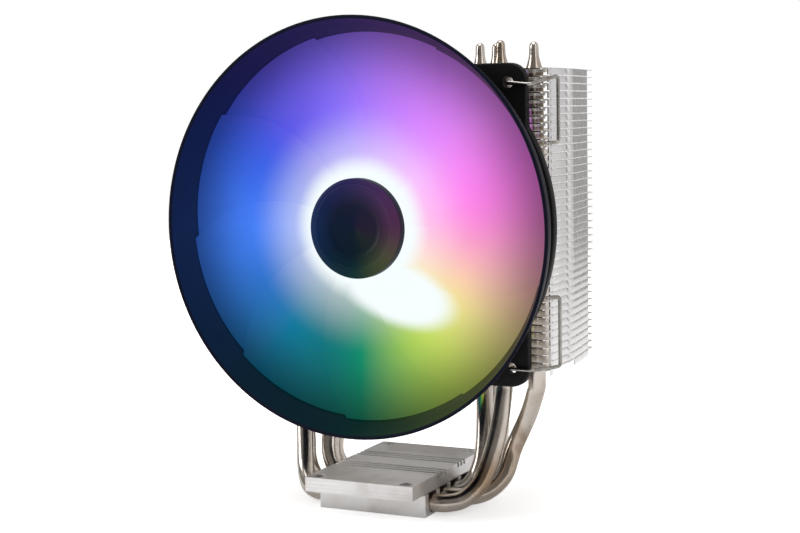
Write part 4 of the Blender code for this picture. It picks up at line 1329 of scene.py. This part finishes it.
# ---------------------------------------------------------------- Hub cap
# The round cap on the hub, moulded in glossy black with a shallow dished middle and a raised
# ring near its edge; it snaps over the motor's steel yoke.
HUB_CAP_PROFILE = (
    (0.0, 28.0), (4.0, 27.98), (7.6, 28.02), (8.6, 28.14), (9.2, 28.42), (9.6, 28.5), (12.6, 28.5), (12.85, 28.56),
    (13.0, 28.78), (13.2, 28.9), (13.9, 28.9), (14.15, 28.78), (14.3, 28.56), (14.55, 28.5), (15.1, 28.48),
    (15.7, 28.3), (16.12, 27.9), (16.3, 27.3), (16.3, 24.5), (15.0, 24.5), (15.0, 27.0), (0.0, 27.0),
)

# The cap's front glows with painted LED light: a painted glint, faint in the middle and stronger towards the rim,
# over a blue-black tone that is a painted tint of the same light.
CAP_MIDDLE_LIT = 0.012
CAP_EDGE_LIT = 0.07
CAP_EDGE_FROM = (8.0, 14.0)

painted_led_glint_black = led_lit("gloss_black_lit_by_leds", (0.003, 0.008, 0.020, 1.0), 0.3)
cap = build_piece(
    "hub_cap_dished", *turned_about(FAN_AXIS_PLACE, np.array(HUB_CAP_PROFILE) * MM, 128, "fan"), painted_led_glint_black, 50.0
)
places = np.empty(len(cap.data.vertices) * 3)
cap.data.vertices.foreach_get("co", places)
places = (places.reshape(-1, 3) - FAN_AXIS_PLACE) / MM
front_side = np.clip((-places[:, 1] - 27.2) / 0.6, 0.0, 1.0)
cap_levels = np.interp(np.hypot(places[:, 0], places[:, 2]), CAP_EDGE_FROM, (CAP_MIDDLE_LIT, CAP_EDGE_LIT))
mark_lit(cap, front_side * cap_levels)
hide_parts("hub_cap")
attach(cap, "rotor")


# ---------------------------------------------------------------- Motor
# What is under the hub: a drawn steel yoke with its ferrite ring and shaft, which turn, and the
# bronze bearing, laminated core, four copper coils and ring-shaped boards, which stand still.
STEEL_BRIGHT = (0.60, 0.61, 0.62, 1.0)
STEEL_DULL = (0.45, 0.44, 0.43, 1.0)
BRONZE_BRIGHT = (0.66, 0.42, 0.20, 1.0)
BRONZE_DULL = (0.42, 0.26, 0.13, 1.0)
CORE_BRIGHT = (0.40, 0.40, 0.42, 1.0)
CORE_DULL = (0.26, 0.25, 0.25, 1.0)
COPPER_BRIGHT = (0.78, 0.34, 0.14, 1.0)
COPPER_DULL = (0.50, 0.20, 0.08, 1.0)

plated_steel = worked_metal(
    "plated_steel", STEEL_BRIGHT, STEEL_DULL, (0.22, 0.38), (900.0, 60.0, 900.0), 0.00001, 120.0
)
sintered_bronze = worked_metal(
    "sintered_bronze", BRONZE_BRIGHT, BRONZE_DULL, (0.35, 0.5), (2500.0, 2500.0, 2500.0), 0.00002
)
laminated_steel = worked_metal(
    "laminated_steel", CORE_BRIGHT, CORE_DULL, (0.35, 0.5), (20.0, 3500.0, 20.0), 0.00006
)
wound_copper = worked_metal("wound_copper", COPPER_BRIGHT, COPPER_DULL, (0.25, 0.4), (30.0, 3200.0, 30.0), 0.0001)
ferrite = moulded_plastic(
    "ferrite", (0.035, 0.035, 0.037, 1.0), (0.06, 0.058, 0.056, 1.0), (0.5, 0.7), 1500.0, 0.00003, 0.4
)
board_green = moulded_plastic(
    "board_green", (0.012, 0.085, 0.035, 1.0), (0.02, 0.13, 0.05, 1.0), (0.3, 0.45), 700.0, 0.00003, 0.5
)


def diffusing_plastic():
    """The light guide's white plastic: lit from within, a little brighter in slow waves."""
    material = bpy.data.materials.new("diffusing_plastic")
    material.use_nodes = True
    nodes = material.node_tree.nodes
    links = material.node_tree.links
    nodes.clear()
    light_frame = nodes.new("NodeFrame")
    light_frame.label = "Light carried round the ring"
    coordinates = nodes.new("ShaderNodeTexCoord")
    coordinates.label = "metres on the ring"
    coordinates.parent = light_frame
    waves = nodes.new("ShaderNodeTexNoise")
    waves.label = "slow waves of brightness"
    waves.parent = light_frame
    waves.inputs["Scale"].default_value = 90.0
    tint = nodes.new("ShaderNodeMix")
    tint.label = "cool to warm white"
    tint.parent = light_frame
    tint.data_type = "RGBA"
    tint.inputs["A"].default_value = (0.86, 0.94, 1.0, 1.0)
    tint.inputs["B"].default_value = (1.0, 0.96, 0.92, 1.0)
    shader = nodes.new("ShaderNodeBsdfPrincipled")
    shader.label = "white plastic"
    shader.inputs["Base Color"].default_value = (0.8, 0.8, 0.82, 1.0)
    shader.inputs["Roughness"].default_value = 0.4
    shader.inputs["Emission Strength"].default_value = 1.6
    output = nodes.new("ShaderNodeOutputMaterial")
    output.label = "light ring"
    for place, node in enumerate((coordinates, waves, tint, shader, output)):
        node.location = (220.0 * place, 0.0)
    links.new(coordinates.outputs["Object"], waves.inputs["Vector"])
    links.new(waves.outputs["Fac"], tint.inputs["Factor"])
    links.new(tint.outputs["Result"], shader.inputs["Emission Color"])
    links.new(shader.outputs["BSDF"], output.inputs["Surface"])
    return material


motor_finishes = {
    "rotor_yoke": plated_steel,
    "rotor_shaft": plated_steel,
    "shaft_clip": plated_steel,
    "rotor_magnet": ferrite,
    "bearing_sleeve": sintered_bronze,
    "stator_core": laminated_steel,
    "motor_board": board_green,
    "led_board": board_green,
    "light_ring": diffusing_plastic(),
    "rear_cap": satin_black,
}
motor_finishes |= {f"stator_coil_{number}": wound_copper for number in range(1, 5)}
for node_name, finish in motor_finishes.items():
    for material_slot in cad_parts[node_name].material_slots:
        material_slot.material = finish


# ---------------------------------------------------------------- Wire clips
# Four clips bent from 1.2 mm nickel-plated spring wire: a pin in the flange's corner hole, a run
# round the flange's side, a long upright leg, and a hook that catches between two fins.
WIRE_RADIUS = 0.6
WIRE_SIDES = 16
CLIP_RUN_Y = -9.95
CLIP_PIN_Y = -6.4
CLIP_KNEE_X = 53.4
CLIP_LEG = np.array([59.5, 0.5])
CLIP_HOOK = np.array([56.3, -3.3])
CLIP_HOOK_FINS = {"upper": 9, "lower": 29}
CLIP_HOLE_SIGNS = {"upper": 1.0, "lower": -1.0}
CLIP_KNEE_DROPS = {"upper": 0.9, "lower": 0.1}
CLIP_LEG_RISES = {"upper": 1.8, "lower": -0.1}
BEND_RADIUS = 1.3
BEND_STEPS = 8


def rounded_corners(corners, radius, steps):
    """A path of straight runs whose corners are replaced by quadratic arcs that start and end radius before the
    corner: each arc is (1-t)^2 start + 2t(1-t) corner + t^2 end."""
    corners = np.asarray(corners, float)
    before, corner, after = corners[:-2], corners[1:-1], corners[2:]
    back = before - corner
    onward = after - corner
    back_reach = np.minimum(radius, 0.5 * np.linalg.norm(back, axis=1))[:, None]
    onward_reach = np.minimum(radius, 0.5 * np.linalg.norm(onward, axis=1))[:, None]
    start = corner + back / np.linalg.norm(back, axis=1, keepdims=True) * back_reach
    end = corner + onward / np.linalg.norm(onward, axis=1, keepdims=True) * onward_reach
    t = np.linspace(0.0, 1.0, steps)[None, :, None]
    arcs = (1 - t) ** 2 * start[:, None] + 2 * t * (1 - t) * corner[:, None] + t**2 * end[:, None]
    return np.concatenate([corners[:1], arcs.reshape(-1, 3), corners[-1:]])


def clip_path(side, level):
    """A clip's corners: pin, run, crossing to the leg, leg, and hook."""
    hole_height = FAN_AXIS_PLACE[2] / MM + CLIP_HOLE_SIGNS[level] * CLIP_HOLE_PLACE / MM
    hook_height = (FIN_TOP - CLIP_HOOK_FINS[level] * FIN_PITCH) / MM - 1.445
    knee_height = hole_height - CLIP_KNEE_DROPS[level]
    leg_height = hole_height + CLIP_LEG_RISES[level]
    corners = np.array(
        [
            (CLIP_HOLE_PLACE / MM, CLIP_PIN_Y, hole_height),
            (CLIP_HOLE_PLACE / MM, CLIP_RUN_Y, hole_height),
            (CLIP_KNEE_X, CLIP_RUN_Y, knee_height),
            (*CLIP_LEG, leg_height),
            (*CLIP_LEG, hook_height),
            (*CLIP_HOOK, hook_height),
        ]
    )
    return rounded_corners(corners * [side, 1.0, 1.0], BEND_RADIUS, BEND_STEPS) * MM


WIRE_BRIGHT = (0.40, 0.38, 0.355, 1.0)
WIRE_DULL = (0.27, 0.25, 0.23, 1.0)
spring_wire = worked_metal(
    "spring_wire", WIRE_BRIGHT, WIRE_DULL, (0.2, 0.32), (300.0, 300.0, 300.0), 0.00001, 150.0
)
for side, side_name in ((1.0, "right"), (-1.0, "left")):
    for level in ("upper", "lower"):
        cad_name = f"wire_clip_{side_name}_{level}"
        wire = rod_along(clip_path(side, level), WIRE_RADIUS * MM, WIRE_SIDES)
        clip = build_piece(f"bent_wire_{side_name}_{level}", *wire, spring_wire, 50.0)
        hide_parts(cad_name)
        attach(clip, cad_name)
